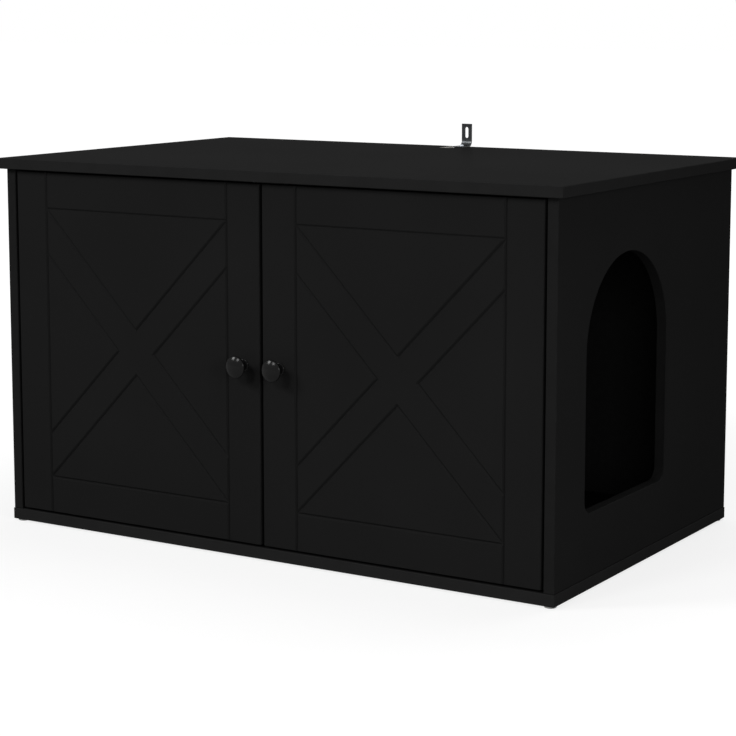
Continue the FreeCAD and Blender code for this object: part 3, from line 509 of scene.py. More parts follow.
# %% [markdown]
# ## Moulded plastic
#
# The catch is moulded in black plastic and the glides in grey. The mould is sparked, which
# leaves a fine grain, and the plastic flows in, which leaves a faint drift of tone. The
# magnets are pressed from iron dust in a mould as well, so one recipe with a coarser grain
# and a wider drift serves for them.

# %% Moulded plastic
MOULDED_EDGE = 0.3 * MM
GRAIN_PER_METRE = 2600


def moulded(name, level, drift, gloss, grain_depth):
    """A grey that drifts so many screen levels either way, with soft edges and a grain."""
    material, shader = start_finish(name, Specular_IOR_Level=gloss)
    flow = cloud(material, 120, detail=3)
    feed(material, shader.inputs["Base Color"],
         drifting(material, flow, grey(level - drift), grey(level + drift)))
    feed(material, shader.inputs["Roughness"], between(material, flow, 0.4, 0.55))
    grain = cloud(material, GRAIN_PER_METRE, detail=1)
    feed(material, shader.inputs["Normal"],
         relief(material, grain, grain_depth, rounded(material, MOULDED_EDGE)))
    return material


catch_plastic = moulded("black_plastic", 26, 2, gloss=0.25, grain_depth=0.02 * MM)
glide_plastic = moulded("grey_plastic", 168, 6, gloss=0.35, grain_depth=0.01 * MM)
iron_dust = moulded("pressed_iron_dust", 52, 9, gloss=0.3, grain_depth=0.06 * MM)
dress(catch_plastic, "catch_housing")

# %% [markdown]
# ## Beech
#
# The dowels are beech, with the grain along them and short dark flecks in it. A noise that
# is squeezed along one axis draws out into streaks, so both are the same kind of noise,
# the grain squeezed harder than the flecks.

# %% Beech
GRAIN_STRETCH = (1, 1, 0.06)
FLECK_STRETCH = (1, 1, 0.25)
BEECH_TONES = tint(168, 126, 84), tint(205, 167, 122)
BEECH_FLECK = tint(126, 88, 56)


def beech():
    """Raw beech with its grain along Z."""
    material, shader = start_finish("beech", Specular_IOR_Level=0.2)
    grain = cloud(material, 900, detail=4, stretch=GRAIN_STRETCH)
    flecks = cloud(material, 2400, detail=1, stretch=FLECK_STRETCH)
    wood = drifting(material, grain, *BEECH_TONES)
    flecked = mixed(material, between(material, flecks, 0, 0.5, 0.55, 0.75), wood, BEECH_FLECK)
    feed(material, shader.inputs["Base Color"], flecked)
    feed(material, shader.inputs["Roughness"], between(material, grain, 0.6, 0.75))
    feed(material, shader.inputs["Normal"], relief(material, grain, 0.05 * MM))
    return material


beech_wood = beech()
print("finishes so far", len(bpy.data.materials))

# %% [markdown]
# ## Where the model's pieces are
#
# One node of the model may hold several equal pieces, such as four screws. The fine pieces
# below take their places from these, so nothing is measured twice. The mesh of a node is
# copied, its split corners are welded in the copy, and each island of joined corners is one
# piece. Its box gives its place, its length and its radius.

# %% Find the separate pieces of a node
WELD = 0.001 * MM


def pieces_of(name):
    """The lowest and highest corner of each separate piece, in metres."""
    skin = bmesh.new()
    skin.from_mesh(frame["nodes"][name].data)
    bmesh.ops.remove_doubles(skin, verts=skin.verts, dist=WELD)
    left = set(skin.verts)
    boxes = []
    while left:
        island, waiting = set(), [left.pop()]
        while waiting:
            corner = waiting.pop()
            island.add(corner)
            for edge in corner.link_edges:
                other = edge.other_vert(corner)
                if other in left:
                    left.remove(other)
                    waiting.append(other)
        low = Vector([min(corner.co[i] for corner in island) for i in range(3)])
        high = Vector([max(corner.co[i] for corner in island) for i in range(3)])
        boxes.append((low, high))
    skin.free()
    return sorted(boxes, key=lambda box: tuple(round(v, 4) for v in box[0]))


print("cams", len(pieces_of("cam_discs")), "cup screws", len(pieces_of("left_cup_screws")))

# %% [markdown]
# ## Turning on a lathe
#
# Knobs, screws, cams and glides are round about an axis. The classic way in Blender is to
# draw half of the section and spin it with a modifier. Here the half section is a list of
# points in millimetres, each a radius and a height, and every point becomes a ring. That
# costs a few lines more, but a ring's radius may then change around the turn, which gives
# a screw its thread and a dowel its flutes.

# %% Helpers for turned pieces
def turned(section, around=48, closed=False, swell=None):
    """A round skin about Z. A closed section joins its last ring to its first."""
    skin = bmesh.new()
    rings = []
    for radius, height in section:
        if radius == 0:
            rings.append([skin.verts.new((0, 0, height))])
            continue
        ring = []
        for step in range(around):
            turn = step / around
            grown = radius + (swell(radius, height, turn) if swell else 0)
            angle = 2 * math.pi * turn
            ring.append(skin.verts.new((grown * math.cos(angle), grown * math.sin(angle), height)))
        rings.append(ring)
    following_rings = rings[1:] + rings[:1] if closed else rings[1:]
    for lower, upper in zip(rings, following_rings):
        for step in range(around):
            following = (step + 1) % around
            corners = [lower[step % len(lower)], lower[following % len(lower)],
                       upper[following % len(upper)], upper[step % len(upper)]]
            skin.faces.new(list(dict.fromkeys(corners)))
    bmesh.ops.recalc_face_normals(skin, faces=skin.faces)
    return skin


# %% Helper for round stretches of a section
def arc(centre, radius, start, end, steps=6):
    """Points of a section along an arc. Angles are degrees, 0 is outwards and 90 is up."""
    points = []
    for step in range(steps + 1):
        angle = math.radians(start + (end - start) * step / steps)
        points.append((centre[0] + radius * math.cos(angle), centre[1] + radius * math.sin(angle)))
    return points


# %% [markdown]
# A finished skin is copied to each place of its kind. Linked copies would be lighter, but
# one object for each node keeps the list of pieces short. The object rides on the node's
# own body, so it moves with the door or stays with the carcass, it wears the finishes that
# it is given, and it stands in for the node.

# %% Helpers for placing pieces
X = Vector((1, 0, 0))   # to the right, seen from the front
Y = Vector((0, 1, 0))   # to the back
Z = Vector((0, 0, 1))   # up


def facing(place, out, up, spin=0.0):
    """Turns a piece's Z to look out and its Y towards up, and makes millimetres metres."""
    across = up.cross(out)
    turn = Matrix((across, up, out)).transposed().to_4x4()
    return (Matrix.Translation(place) @ turn @ Matrix.Rotation(spin, 4, "Z")
            @ Matrix.Scale(MM, 4))


def copied(skin, places):
    """One skin with a copy of the given skin at each place."""
    pattern = bpy.data.meshes.new("pattern")
    skin.to_mesh(pattern)
    skin.free()
    together = bmesh.new()
    for place in places:
        copy = pattern.copy()
        copy.transform(place)
        together.from_mesh(copy)
        bpy.data.meshes.remove(copy)
    bpy.data.meshes.remove(pattern)
    return together


# %% Helper for adding a piece
def add_piece(name, skin, materials, node_name, crease=35):
    """Makes the object, rides it on the node's body and lets it stand for the node.

    Edges that turn by more than the crease, in degrees, stay sharp.
    """
    mesh = bpy.data.meshes.new(name)
    skin.to_mesh(mesh)
    skin.free()
    mesh.shade_smooth()
    mesh.set_sharp_from_angle(angle=math.radians(crease))
    for material in materials:
        mesh.materials.append(material)
    piece = bpy.data.objects.new(name, mesh)
    bpy.context.scene.collection.objects.link(piece)
    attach(piece, frame["nodes"][node_name]["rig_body"])
    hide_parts(node_name)
    print(name, len(mesh.polygons), "faces")


# %% [markdown]
# ## Knobs
#
# Each knob is a turned mushroom: a foot, a waisted neck and a round head with a domed face.
# The dome matters, because it decides how large the lamps show in the enamel: a flat face
# with a small rim would leave them as two specks. The length and the head's radius come
# from the model's piece. The neck could be built from arcs that meet, but a soft curve
# through a few points is nearer to what a hand-fed lathe tool leaves.

# %% Helper for a soft curve
def smooth_run(points, steps=5):
    """A soft curve through the points of a section, ends included."""
    run = []
    padded = [points[0]] + points + [points[-1]]
    for before, start, end, after in zip(padded, padded[1:], padded[2:], padded[3:]):
        for step in range(steps):
            t = step / steps
            run.append(tuple(
                0.5 * (2 * s + (e - b) * t + (2 * b - 5 * s + 4 * e - a) * t ** 2
                       + (3 * s - b - 3 * e + a) * t ** 3)
                for b, s, e, a in zip(before, start, end, after)))
    return run + [points[-1]]


# %% The knob's section
KNOB_FOOT = 8.5         # radius of the foot
FOOT_ROUND = 1.1        # radius of the foot's rounded edge
KNOB_NECK = [(7.3, 2.3), (6.5, 4.6), (6.0, 9.0), (6.6, 13.0), (8.8, 15.9), (12.2, 17.1),
             (14.4, 17.9)]
HEAD_START = 19.0       # height at which the head has its full radius
KNOB_RIM = 2.2          # radius of the head's rounded edge
KNOB_DOME = 28.0        # radius of the ball that the face is a part of
KNOB_BORE = 2.1         # for the screw from behind
KNOB_BORE_DEPTH = 11.0


def knob_section(radius, length):
    """The half section of a knob that stands on height 0."""
    rim_centre = radius - KNOB_RIM
    reach = KNOB_DOME - KNOB_RIM
    meet = math.degrees(math.asin(rim_centre / reach))
    rim_height = length - KNOB_DOME + math.sqrt(reach ** 2 - rim_centre ** 2)
    bore = [(0, KNOB_BORE_DEPTH), (KNOB_BORE, KNOB_BORE_DEPTH), (KNOB_BORE, 0)]
    foot = [(KNOB_FOOT - 0.1, 0), (KNOB_FOOT, 0.2)]
    foot += arc((KNOB_FOOT - FOOT_ROUND, 0.9), FOOT_ROUND, 0, 85, 5)
    neck = smooth_run(KNOB_NECK + [(radius, HEAD_START)])
    rim = arc((rim_centre, rim_height), KNOB_RIM, 0, 90 - meet, 8)
    dome = arc((0, length - KNOB_DOME), KNOB_DOME, 90 - meet, 90, 10)
    return bore + foot + neck + rim[:-1] + dome[:-1] + [(0, length)]


# %% Turn the knobs
for side in ("left", "right"):
    low, high = pieces_of(side + "_knob")[0]
    middle = (low + high) / 2
    seat = Vector((middle.x, high.y, middle.z))
    section = knob_section((high.x - low.x) / 2 / MM, (high.y - low.y) / MM)
    knob = copied(turned(section, around=72), [facing(seat, -Y, Z)])
    add_piece(side + "_knob_turned", knob, [knob_enamel], side + "_knob", 30)

# %% [markdown]
# ## Screws
#
# A screw's cross recess is punched into its head. The same is done here with a boolean: a
# plus-shaped punch that narrows downwards is taken away from the head. A dark cross could
# be painted on instead, but it would not catch the light as a real recess does. The punch
# and the blank are thrown away once the cut piece has been read back.

# %% Helper for cutting
def cut(skin, punch):
    """Takes the punch away from the skin with Blender's boolean modifier."""
    objects = []
    for name, shape in (("blank", skin), ("punch", punch)):
        mesh = bpy.data.meshes.new(name)
        shape.to_mesh(mesh)
        shape.free()
        made = bpy.data.objects.new(name, mesh)
        bpy.context.scene.collection.objects.link(made)
        objects.append(made)
    blank, tool = objects
    boolean = blank.modifiers.new("cut", "BOOLEAN")
    boolean.operation = "DIFFERENCE"
    boolean.solver = "EXACT"
    boolean.object = tool
    bpy.context.view_layer.update()
    result = bmesh.new()
    result.from_object(blank, bpy.context.evaluated_depsgraph_get())
    for made in objects:
        mesh = made.data
        bpy.data.objects.remove(made)
        bpy.data.meshes.remove(mesh)
    return result


# %% Helpers for punches
PUNCH_TAPER = 0.55      # the bottom of a recess, as a part of its top
PUNCH_ABOVE = 0.5       # how far a punch stands out of the face that it cuts


def prism(outline, bottom, top, taper=1.0):
    """A solid over an outline. The taper scales the outline at the bottom."""
    skin = bmesh.new()
    lower = [skin.verts.new((x * taper, y * taper, bottom)) for x, y in outline]
    upper = [skin.verts.new((x, y, top)) for x, y in outline]
    skin.faces.new(lower[::-1])
    skin.faces.new(upper)
    for i in range(len(outline)):
        j = (i + 1) % len(outline)
        skin.faces.new((lower[i], lower[j], upper[j], upper[i]))
    return skin


def cross_punch(size, depth, top):
    """The punch for a cross recess of that width. Each arm is two sevenths of it wide."""
    arm = size / 2
    half = size / 7
    corner = [(arm, -half), (arm, half), (half, half)]
    outline = []
    for quarter in range(4):
        for x, y in corner:
            for _ in range(quarter):
                x, y = -y, x
            outline.append((x, y))
    return prism(outline, top - depth, top + PUNCH_ABOVE, taper=PUNCH_TAPER)


# %% [markdown]
# A thread is a ridge that climbs as it goes round, so the ring's radius depends on its
# height and on the turn. Blender's screw modifier could wind one, but it would be a second
# mesh to join to the shank.
#
# Most screws are pan heads with a wood thread that ends in a point. The screws in the
# strike plates are sunk flush, so theirs is a flat cone. The knob screws are machine screws
# with a fine thread and a blunt end.

# %% Helper for threads
def thread(crest, core, pitch, start, end):
    """The swell of a thread's ridge between two heights."""
    def ridge(radius, height, turn):
        if radius != core or not start <= height <= end:
            return 0
        across = abs((height / pitch - turn) % 1 - 0.5)
        return (crest - core) * max(0, 1 - 4 * across)
    return ridge


# %% Screw sections
RING_RISE = 0.2         # from one ring of a thread to the next, as a part of its pitch
TIP_LENGTH = {"wood": 2.2, "sunk": 2.2, "machine": 0.5}
BELOW_HEAD = 0.3        # no ring is nearer to the head than this
PAN_SIDE = 0.35         # height of a pan head's side, as a part of the head's
PAN_ANGLES = (0, 20, 42, 64, 80)        # of the points up a pan head's dome, in degrees


def screw_section(kind, head, height, core, reach, pitch):
    """The half section of a screw, with its head on height 0 and its tip down."""
    rise = RING_RISE * pitch
    rows = [-reach + rise * step for step in range(int(reach / rise) + 1)]
    shank = [(core, z) for z in rows if -reach + TIP_LENGTH[kind] < z < -BELOW_HEAD]
    tip = [(0, -reach)] + ([(core * 0.7, -reach)] if kind == "machine" else [])
    if kind == "sunk":
        crown = [(head, height - 0.1), (head - 0.1, height), (head * 0.5, height)]
        return tip + shank + [(core, 0)] + crown + [(0, height)]
    side = height * PAN_SIDE
    dome = [(head * math.cos(a), side + (height - side) * math.sin(a))
            for a in map(math.radians, PAN_ANGLES)]
    return tip + shank + [(core, 0), (head - 0.15, 0), (head, 0.15)] + dome + [(0, height)]


# %% Cut a screw
BARE_TIP = 0.6          # the thread starts so far above the tip
BARE_NECK = 0.8         # and ends so far below the head


def screw(kind, head, height, reach, crest, core, pitch):
    """A screw with its thread and its cross recess."""
    section = screw_section(kind, head, height, core, reach, pitch)
    ridge = thread(crest, core, pitch, -reach + BARE_TIP, -BARE_NECK)
    blank = turned(section, around=20, swell=ridge)
    recess_width = head * (1.1 if kind == "sunk" else 1.25)
    recess_depth = min(height * 0.75, 1.6)
    return cut(blank, cross_punch(recess_width, recess_depth, height))


# %% [markdown]
# The model's screws are plain pins with a head. Each gives its length, its head's radius
# and its place, and the rows below give what a pin can't: the kind of screw, the way it
# looks out and the thread. Real screws stop at any angle, so each one of a node is turned
# some degrees further than the last.

# %% Put the screws in
PAN_HEAD = 1.8                  # height of a pan head
WOOD_THREAD = 1.70, 1.25, 1.5   # crest, core and pitch
FINE_THREAD = 1.70, 1.25, 1.0
MACHINE_THREAD = 1.95, 1.60, 0.9
FIRST_SPIN = 23                 # degrees
NEXT_SPIN = 37
SCREW_ROWS = [                  # name, kind, way out, height of the head, winding
    ("cup_screws", "wood", Y, PAN_HEAD, WOOD_THREAD),
    ("arm_screws", "wood", X, PAN_HEAD, FINE_THREAD),
    ("plate_screws", "wood", X, PAN_HEAD, WOOD_THREAD),
    ("strike_screw", "sunk", Y, 0.8, WOOD_THREAD),
    ("knob_screw", "machine", Y, 2.4, MACHINE_THREAD),
]


def screws_for(node_name, kind, out, height, winding):
    """Fills a node's places with one kind of screw."""
    axis = max(range(3), key=lambda i: abs(out[i]))
    other = (axis + 1) % 3
    boxes = pieces_of(node_name)
    low, high = boxes[0]
    reach = (high[axis] - low[axis]) / MM - height
    head = (high[other] - low[other]) / MM / 2
    up = X if axis == 2 else Z
    places = []
    for number, (low, high) in enumerate(boxes):
        seat = (low + high) / 2
        end = high[axis] if out[axis] > 0 else low[axis]
        seat[axis] = end - out[axis] * height * MM
        spin = math.radians(FIRST_SPIN + NEXT_SPIN * number)
        places.append(facing(seat, out, up, spin))
    one = screw(kind, head, height, reach, *winding)
    add_piece(node_name + "_cut", copied(one, places), [zinc], node_name, 40)


for side, inward in (("left", 1), ("right", -1)):
    for name, kind, out, height, winding in SCREW_ROWS:
        way = out * inward if out == X else out
        screws_for(side + "_" + name, kind, way, height, winding)
screws_for("catch_screws", "wood", -Z, PAN_HEAD, WOOD_THREAD)
screws_for("bracket_screw", "wood", Z, PAN_HEAD, WOOD_THREAD)

# %% [markdown]
# ## The wall bracket
#
# The bracket is a strip of steel, punched and then bent. A real bend in 2 mm steel is
# wide, and its hollow catches the lamps as a pale band over the top, between the dark
# upright and the dark leg. It could be a flat strip with a bend modifier, but a side view
# drawn once and given its width has exact radii. The slot and the screw hole are then cut
# through it.

# %% Bend the bracket
BEND = 9.0              # outer radius of the bend
STEEL = 2.0             # thickness
SLOT_WIDTH = 6.0
SLOT_LENGTH = 17.0
SLOT_HEIGHT = 21.5      # its middle, above the top
HOLE_RADIUS = 2.0
HOLE_PLACE = 17.5       # from the wall
PAST = 1.0              # how far a punch goes past each face


def bent_strip(width, leg, height):
    """Its bend is at the origin, the leg runs to -X and the upright to +Y."""
    outer = arc((-BEND, BEND), BEND, -90, 0, 10)
    inner = arc((-BEND, BEND), BEND - STEEL, 0, -90, 10)
    side_view = [(-leg, 0)] + outer + [(0, height), (-STEEL, height)] + inner + [(-leg, STEEL)]
    blank = prism(side_view, -width / 2, width / 2)
    straight = (SLOT_LENGTH - SLOT_WIDTH) / 2
    slot = (arc((0, SLOT_HEIGHT + straight), SLOT_WIDTH / 2, 0, 180, 12)
            + arc((0, SLOT_HEIGHT - straight), SLOT_WIDTH / 2, 180, 360, 12))
    punch = prism(slot, -STEEL - PAST, PAST)
    punch.transform(Matrix.Rotation(math.radians(90), 4, "Y"))
    blank = cut(blank, punch)
    drill = turned([(0, -PAST), (HOLE_RADIUS, -PAST), (HOLE_RADIUS, STEEL + PAST),
                    (0, STEEL + PAST)], around=24)
    drill.transform(Matrix.Translation((-HOLE_PLACE, 0, 0))
                    @ Matrix.Rotation(math.radians(-90), 4, "X"))
    return cut(blank, drill)


low, high = pieces_of("wall_bracket")[0]
corner = Vector(((low.x + high.x) / 2, high.y, low.z))
size = (high - low) / MM
add_piece("wall_bracket_bent", copied(bent_strip(*size), [facing(corner, X, Z)]),
          [bracket_steel], "wall_bracket", 30)

# %% [markdown]
# ## Cams
#
# Cams, bolts and dowels hold the flat-pack carcass together. A bolt is screwed into the
# top or the base near its end, a cam in the side panel grips its head, and a dowel beside
# it takes the load. Only the cams' faces show, inside the cabinet, with a cross for the
# screwdriver and an arrow that points at the bolt. A real cam is cast. Here it is turned,
# and then the cross, the arrow and the mouth for the bolt's head are cut out of it.

# %% Cams
CAM_RADIUS = 7.4
CAM_DEPTH = 12.0
CAM_EASE = 0.4          # the broken edge, and how far the face lies below its rim
CAM_CROSS = 8.0
CAM_CROSS_DEPTH = 3.0
ARROW = [(-1.1, 4.6), (1.1, 4.6), (0, 6.0)]
ARROW_DEPTH = 0.5
MOUTH_SIDE = 3.5        # half of the mouth's width
MOUTH_END = -3.1        # the mouth ends a little past the axis
MOUTH_BOTTOM = -11.0
MOUTH_TOP = -4.0
HALFWAY_UP = 0.25       # tells a joint at the top from one at the base, in metres


def cam():
    """A cam with its rim on height 0 and its mouth towards Y."""
    flat = CAM_RADIUS - CAM_EASE
    blank = turned([(0, -CAM_DEPTH), (flat, -CAM_DEPTH), (CAM_RADIUS, -CAM_DEPTH + CAM_EASE),
                    (CAM_RADIUS, -CAM_EASE), (flat, 0), (CAM_RADIUS - 1.1, 0),
                    (CAM_RADIUS - 1.4, -CAM_EASE), (0, -CAM_EASE)], around=56)
    blank = cut(blank, cross_punch(CAM_CROSS, CAM_CROSS_DEPTH, -CAM_EASE))
    blank = cut(blank, prism(ARROW, -CAM_EASE - ARROW_DEPTH, PUNCH_ABOVE))
    outside = CAM_RADIUS + 1
    mouth = [(-MOUTH_SIDE, MOUTH_END), (MOUTH_SIDE, MOUTH_END), (MOUTH_SIDE, outside),
             (-MOUTH_SIDE, outside)]
    return cut(blank, prism(mouth, MOUTH_BOTTOM, MOUTH_TOP))


places = []
for low, high in pieces_of("cam_discs"):
    middle = (low + high) / 2
    out = -X if middle.x > 0 else X
    middle.x = low.x if middle.x > 0 else high.x
    places.append(facing(middle, out, Z if middle.z > HALFWAY_UP else -Z))
add_piece("cam_discs_cast", copied(cam(), places), [zinc], "cam_discs", 40)

# %% [markdown]
# ## Bolts
#
# A cam bolt has a coarse thread for the board, a collar that stops it at the surface, and a
# waist below its head, which the cam grips. All of it is round, so it comes off the lathe
# in one piece with its thread.

# %% Bolts
BOLT_THREAD = 10.0      # length of the thread
BOLT_LENGTH = 37.0
BOLT_CREST = 2.95
BOLT_CORE = 2.4
BOLT_PITCH = 1.6
BOLT_RING_RISE = 0.32
BOLT_RINGS = 28
BOLT_NECK = 0.4         # plain below the collar
BOLT_SHANK = [(2.5, 0), (3.2, 0.1), (3.2, 1.2), (2.5, 1.4), (2.5, 21.0)]
BOLT_WAIST = [(1.9, 21.6), (1.9, 23.6), (2.4, 24.0)]
BOLT_HEAD = [(3.3, 24.2), (3.4, 24.5), (3.4, 26.4)]


def cam_bolt():
    """A cam bolt that stands on height 0 with its thread below."""
    start = -BOLT_THREAD + 0.8
    rings = [(BOLT_CORE, start + BOLT_RING_RISE * step) for step in range(BOLT_RINGS)]
    top = BOLT_LENGTH - BOLT_THREAD
    section = ([(0, -BOLT_THREAD), (1.6, -BOLT_THREAD)] + rings
               + BOLT_SHANK + BOLT_WAIST + BOLT_HEAD + [(2.8, top), (0, top)])
    ridge = thread(BOLT_CREST, BOLT_CORE, BOLT_PITCH, start, -BOLT_NECK)
    return turned(section, around=24, swell=ridge)


places = []
for low, high in pieces_of("cam_bolts"):
    middle = (low + high) / 2
    above = middle.z > HALFWAY_UP
    middle.z = high.z - BOLT_THREAD * MM if above else low.z + BOLT_THREAD * MM
    places.append(facing(middle, -Z if above else Z, Y))
add_piece("cam_bolts_threaded", copied(cam_bolt(), places), [zinc], "cam_bolts", 40)

# %% [markdown]
# ## Dowels
#
# A dowel is a short round stick with flutes along it, which let the air and the spare glue
# out of the hole. Flutes could be cut one by one, but here the lathe's rings just shrink at
# each one. Both ends are tapered, so that they find their hole.

# %% Fluted dowels
DOWEL_LENGTH = 30.0
DOWEL_RADIUS = 3.95
DOWEL_FLUTES = 18
FLUTE_DEPTH = 0.28


def dowel():
    """A dowel with its middle at the origin."""
    def flute(radius, height, turn):
        depth = FLUTE_DEPTH * abs(math.sin(math.pi * DOWEL_FLUTES * turn))
        return -depth if radius == DOWEL_RADIUS else 0
    end = DOWEL_LENGTH / 2
    tip = DOWEL_RADIUS - 0.9
    section = [(0, -end), (tip, -end), (DOWEL_RADIUS, -end + 1),
               (DOWEL_RADIUS, end - 1), (tip, end), (0, end)]
    return turned(section, around=72, swell=flute)


places = [facing((low + high) / 2, Z, Y) for low, high in pieces_of("wooden_dowels")]
add_piece("wooden_dowels_fluted", copied(dowel(), places), [beech_wood], "wooden_dowels")

# %% [markdown]
# ## Catch magnets
#
# A furniture magnet is a sandwich: a block of pressed iron dust between two steel plates,
# which stand a little proud and pull at the strike plate. Each layer is a block with its
# edges broken, made with a bevel on all edges. The layers go into one object with two
# materials, and each face says by its material index which of the two it wears.

# %% Layered magnets
POLE_PLATE = 1.3 * MM
CORE_SET_BACK = 0.6 * MM
BROKEN_EDGE = 0.15 * MM
PLATE_INDEX, CORE_INDEX = 0, 1


def broken_block(low, high, material_index):
    """A block with broken edges, in metres."""
    skin = bmesh.new()
    bmesh.ops.create_cube(skin, size=1)
    for corner in skin.verts:
        corner.co = Vector([low[i] if corner.co[i] < 0 else high[i] for i in range(3)])
    bmesh.ops.bevel(skin, geom=skin.edges[:], offset=BROKEN_EDGE, segments=2, affect="EDGES",
                    profile=0.5)
    for face in skin.faces:
        face.material_index = material_index
    return skin


def add_skin(together, skin):
    """Adds one skin to another and frees it."""
    mesh = bpy.data.meshes.new("layer")
    skin.to_mesh(mesh)
    skin.free()
    together.from_mesh(mesh)
    bpy.data.meshes.remove(mesh)


magnets = bmesh.new()
for low, high in pieces_of("catch_magnets"):
    lower, upper = low.z + POLE_PLATE, high.z - POLE_PLATE
    for bottom, top, front, index in ((low.z, lower, low.y, PLATE_INDEX),
                                      (lower, upper, low.y + CORE_SET_BACK, CORE_INDEX),
                                      (upper, high.z, low.y, PLATE_INDEX)):
        add_skin(magnets, broken_block((low.x, front, bottom), (high.x, high.y, top), index))
add_piece("catch_magnets_layered", magnets, [nickel, iron_dust], "catch_magnets")

# %% [markdown]
# ## Glides
#
# A glide is a round plastic foot with a nail through it. Its lower rim is rounded so that it
# slides, a shallow ring is left by the mould, and the hole is wider below, for the nail's
# head. Its section goes all the way round the ring of plastic, so it is a closed one.

# %% Glides
GLIDE_RADIUS = 8.0
GLIDE_RIM = 1.3         # radius of the rounded lower edge
GLIDE_HOLE = [(1.2, 1.5), (2.7, 1.5), (2.7, 0.25), (2.95, 0)]
MOULD_RING = [(4.6, 0), (4.8, 0.15), (5.0, 0)]
GLIDE_TOP = [(GLIDE_RADIUS, 2.75), (GLIDE_RADIUS - 0.25, 3.0), (1.2, 3.0)]


def glide():
    """A glide that stands on height 0."""
    rim = arc((GLIDE_RADIUS - GLIDE_RIM, GLIDE_RIM), GLIDE_RIM, -90, 0)
    return turned(GLIDE_HOLE + MOULD_RING + rim + GLIDE_TOP, around=56, closed=True)


places = []
for low, high in pieces_of("floor_glides"):
    middle = (low + high) / 2
    middle.z = low.z
    places.append(facing(middle, Z, Y))
add_piece("floor_glides_moulded", copied(glide(), places), [glide_plastic], "floor_glides")

# %% [markdown]
# The nail has a flat head, and under it fine rings that grip the board. They could be a
# thread, but real ones don't climb: they are rings of two radii in turn.

# %% Nails
NAIL_HEAD = 2.6         # radius
NAIL_HEAD_HEIGHT = 1.0
NAIL_RADIUS = 1.05
NAIL_REACH = 9.5
GRIP_DEPTH = 0.12
GRIP_RISE = 0.35
GRIP_RINGS = 12


def nail():
    """A nail with its head on height 0 and its tip down."""
    grip = [(NAIL_RADIUS - GRIP_DEPTH * (step % 2), -1.0 - GRIP_RISE * step)
            for step in range(GRIP_RINGS)]
    tip = [(0, -NAIL_REACH), (NAIL_RADIUS, -NAIL_REACH + 2.2)]
    head = [(NAIL_RADIUS, 0), (NAIL_HEAD, 0), (NAIL_HEAD, NAIL_HEAD_HEIGHT - 0.3),
            (NAIL_HEAD - 0.3, NAIL_HEAD_HEIGHT - 0.05), (0, NAIL_HEAD_HEIGHT)]
    return turned(tip + grip[::-1] + head, around=24)


places = []
for low, high in pieces_of("glide_nails"):
    middle = (low + high) / 2
    middle.z = low.z + NAIL_HEAD_HEIGHT * MM
    places.append(facing(middle, -Z, Y))
add_piece("glide_nails_gripped", copied(nail(), places), [zinc], "glide_nails")

# %% [markdown]
# ## The floor
#
# The cabinet stands on a large plain sheet in front of white. Bright lamps could make the
# sheet white, but they would turn the black boards grey. So white is added to it for the
# eye and for reflections only, and throws no extra light on the cabinet. Close to the
# cabinet the added white is weaker, and there the sheet's own grey takes the soft shadow
# that grounds the cabinet.

# %% Helpers for the studio
def seen_directly(material):
    """1 for what the eye sees, straight or in a reflection, and 0 for plain lighting."""
    path = node(material, "ShaderNodeLightPath")
    seen = path.outputs["Is Camera Ray"]
    for way in ("Is Glossy Ray", "Is Transmission Ray"):
        seen = maths(material, "MAXIMUM", seen, path.outputs[way])
    return seen


# %% Floor
FLOOR_SIZE = 60.0
FLOOR_NEAR = 0.6        # the added white starts to grow here, from the middle
FLOOR_FAR = 2.6         # and is full here
LEAST_WHITE = 0.78      # the added white next to the cabinet
WHITE = (1, 1, 1, 1)
SHEET_GREY = (0.25, 0.25, 0.25, 1)
half = FLOOR_SIZE / 2
floor_mesh = bpy.data.meshes.new("floor")
floor_mesh.from_pydata(
    [(-half, -half, 0), (half, -half, 0), (half, half, 0), (-half, half, 0)], [], [(0, 1, 2, 3)])
floor = bpy.data.objects.new("floor", floor_mesh)
bpy.context.scene.collection.objects.link(floor)

floor_finish, floor_shader = start_finish(
    "pale_floor", Roughness=0.9, Specular_IOR_Level=0.0, Base_Color=SHEET_GREY,
    Emission_Color=WHITE)
distance = node(floor_finish, "ShaderNodeVectorMath", {0: own_space(floor_finish)},
                operation="LENGTH")
added_white = between(floor_finish, distance.outputs["Value"], LEAST_WHITE, 1.0,
                      FLOOR_NEAR, FLOOR_FAR)
only_seen = maths(floor_finish, "MULTIPLY", added_white, seen_directly(floor_finish))
feed(floor_finish, floor_shader.inputs["Emission Strength"], only_seen)
floor_mesh.materials.append(floor_finish)
print("floor", FLOOR_SIZE, "m wide, full white from", FLOOR_FAR, "m out")

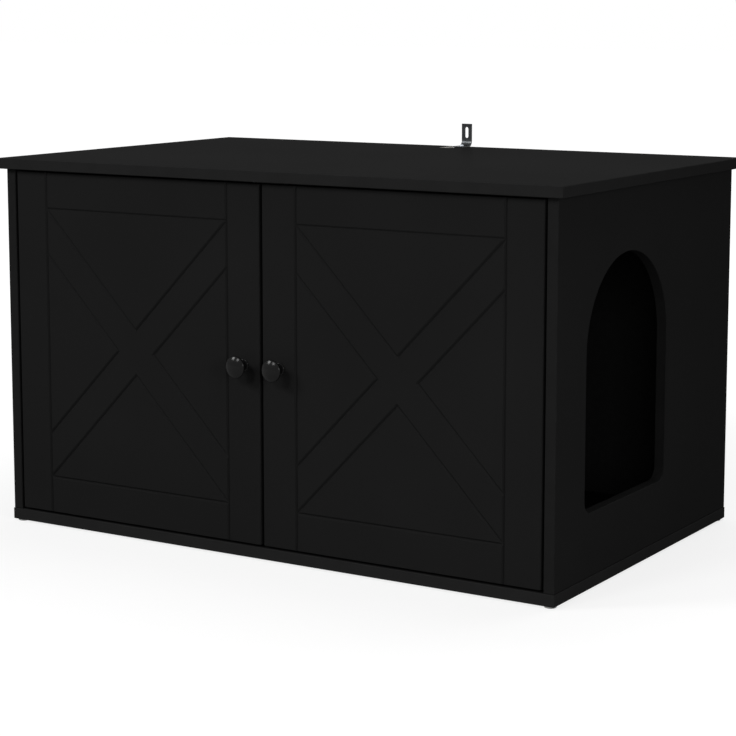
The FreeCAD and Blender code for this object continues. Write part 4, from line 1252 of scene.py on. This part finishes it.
# %% [markdown]
# ## The background
#
# Behind the floor is the world, which wraps the whole scene. A white world would light the
# cabinet from all sides and wash it out. The same trick serves here: the eye sees full
# white, and the cabinet gets a small part of it, which keeps its dark corners readable.

# %% Background
AMBIENT = 0.14          # how much of the white reaches the cabinet as light
world = bpy.data.worlds.new("studio")
bpy.context.scene.world = world
world.use_nodes = True
background = world.node_tree.nodes["Background"]
background.inputs["Color"].default_value = WHITE
strength = between(world, seen_directly(world), AMBIENT, 1.0, 0, 1)
feed(world, background.inputs["Strength"], strength)
print("background white, ambient light", AMBIENT)

# %% [markdown]
# ## The lamps
#
# All lamps are square soft boxes, because small lamps would draw hard shadows. The key
# stands high on the left, and a second one, a little smaller, stands beside it nearer to
# the middle: together they leave two highlights on each knob and two soft shadows beside
# it. The camera's fill is large and weak and stands behind the camera, so that the side
# panel doesn't sink into black. The top's fill hangs over the top board. The side's fill is
# narrow and aims at the front part of the side panel, which is a little paler in the
# picture than its rear.

# %% Lamps
def lamp(name, place, aim, size, power, spread=180):
    """A square soft box. A smaller spread, in degrees, keeps its light closer to its aim."""
    data = bpy.data.lights.new(name, "AREA")
    data.shape = "SQUARE"
    data.size = size
    data.energy = power
    data.spread = math.radians(spread)
    made = bpy.data.objects.new(name, data)
    made.location = place
    made.rotation_euler = (Vector(aim) - Vector(place)).to_track_quat("-Z", "Y").to_euler()
    bpy.context.scene.collection.objects.link(made)
    print(name, power, "W from a box", size, "m wide")


lamp("key", (-2.67, -2.82, 2.57), (0, 0, 0.25), 1.0, 80)
lamp("second", (-0.66, -3.62, 2.46), (0, 0, 0.25), 0.85, 42)
lamp("camera_fill", (2.35, -3.3, 1.15), (0.3, -0.1, 0.3), 1.4, 21)
lamp("top_fill", (0.3, 0.9, 3.0), (0, 0, 0.4), 1.8, 42)
lamp("side_fill", (2.0, -1.3, 0.8), (0.44, -0.5, 0.25), 0.6, 1.7, spread=60)

# %% [markdown]
# ## Colour handling
#
# Blender's usual view bends light and dark for a film look. The plain view shows a colour
# as it was written, which is what the levels above were chosen for.

# %% Plain view
bpy.context.scene.view_settings.view_transform = "Standard"
print("view", bpy.context.scene.view_settings.view_transform)
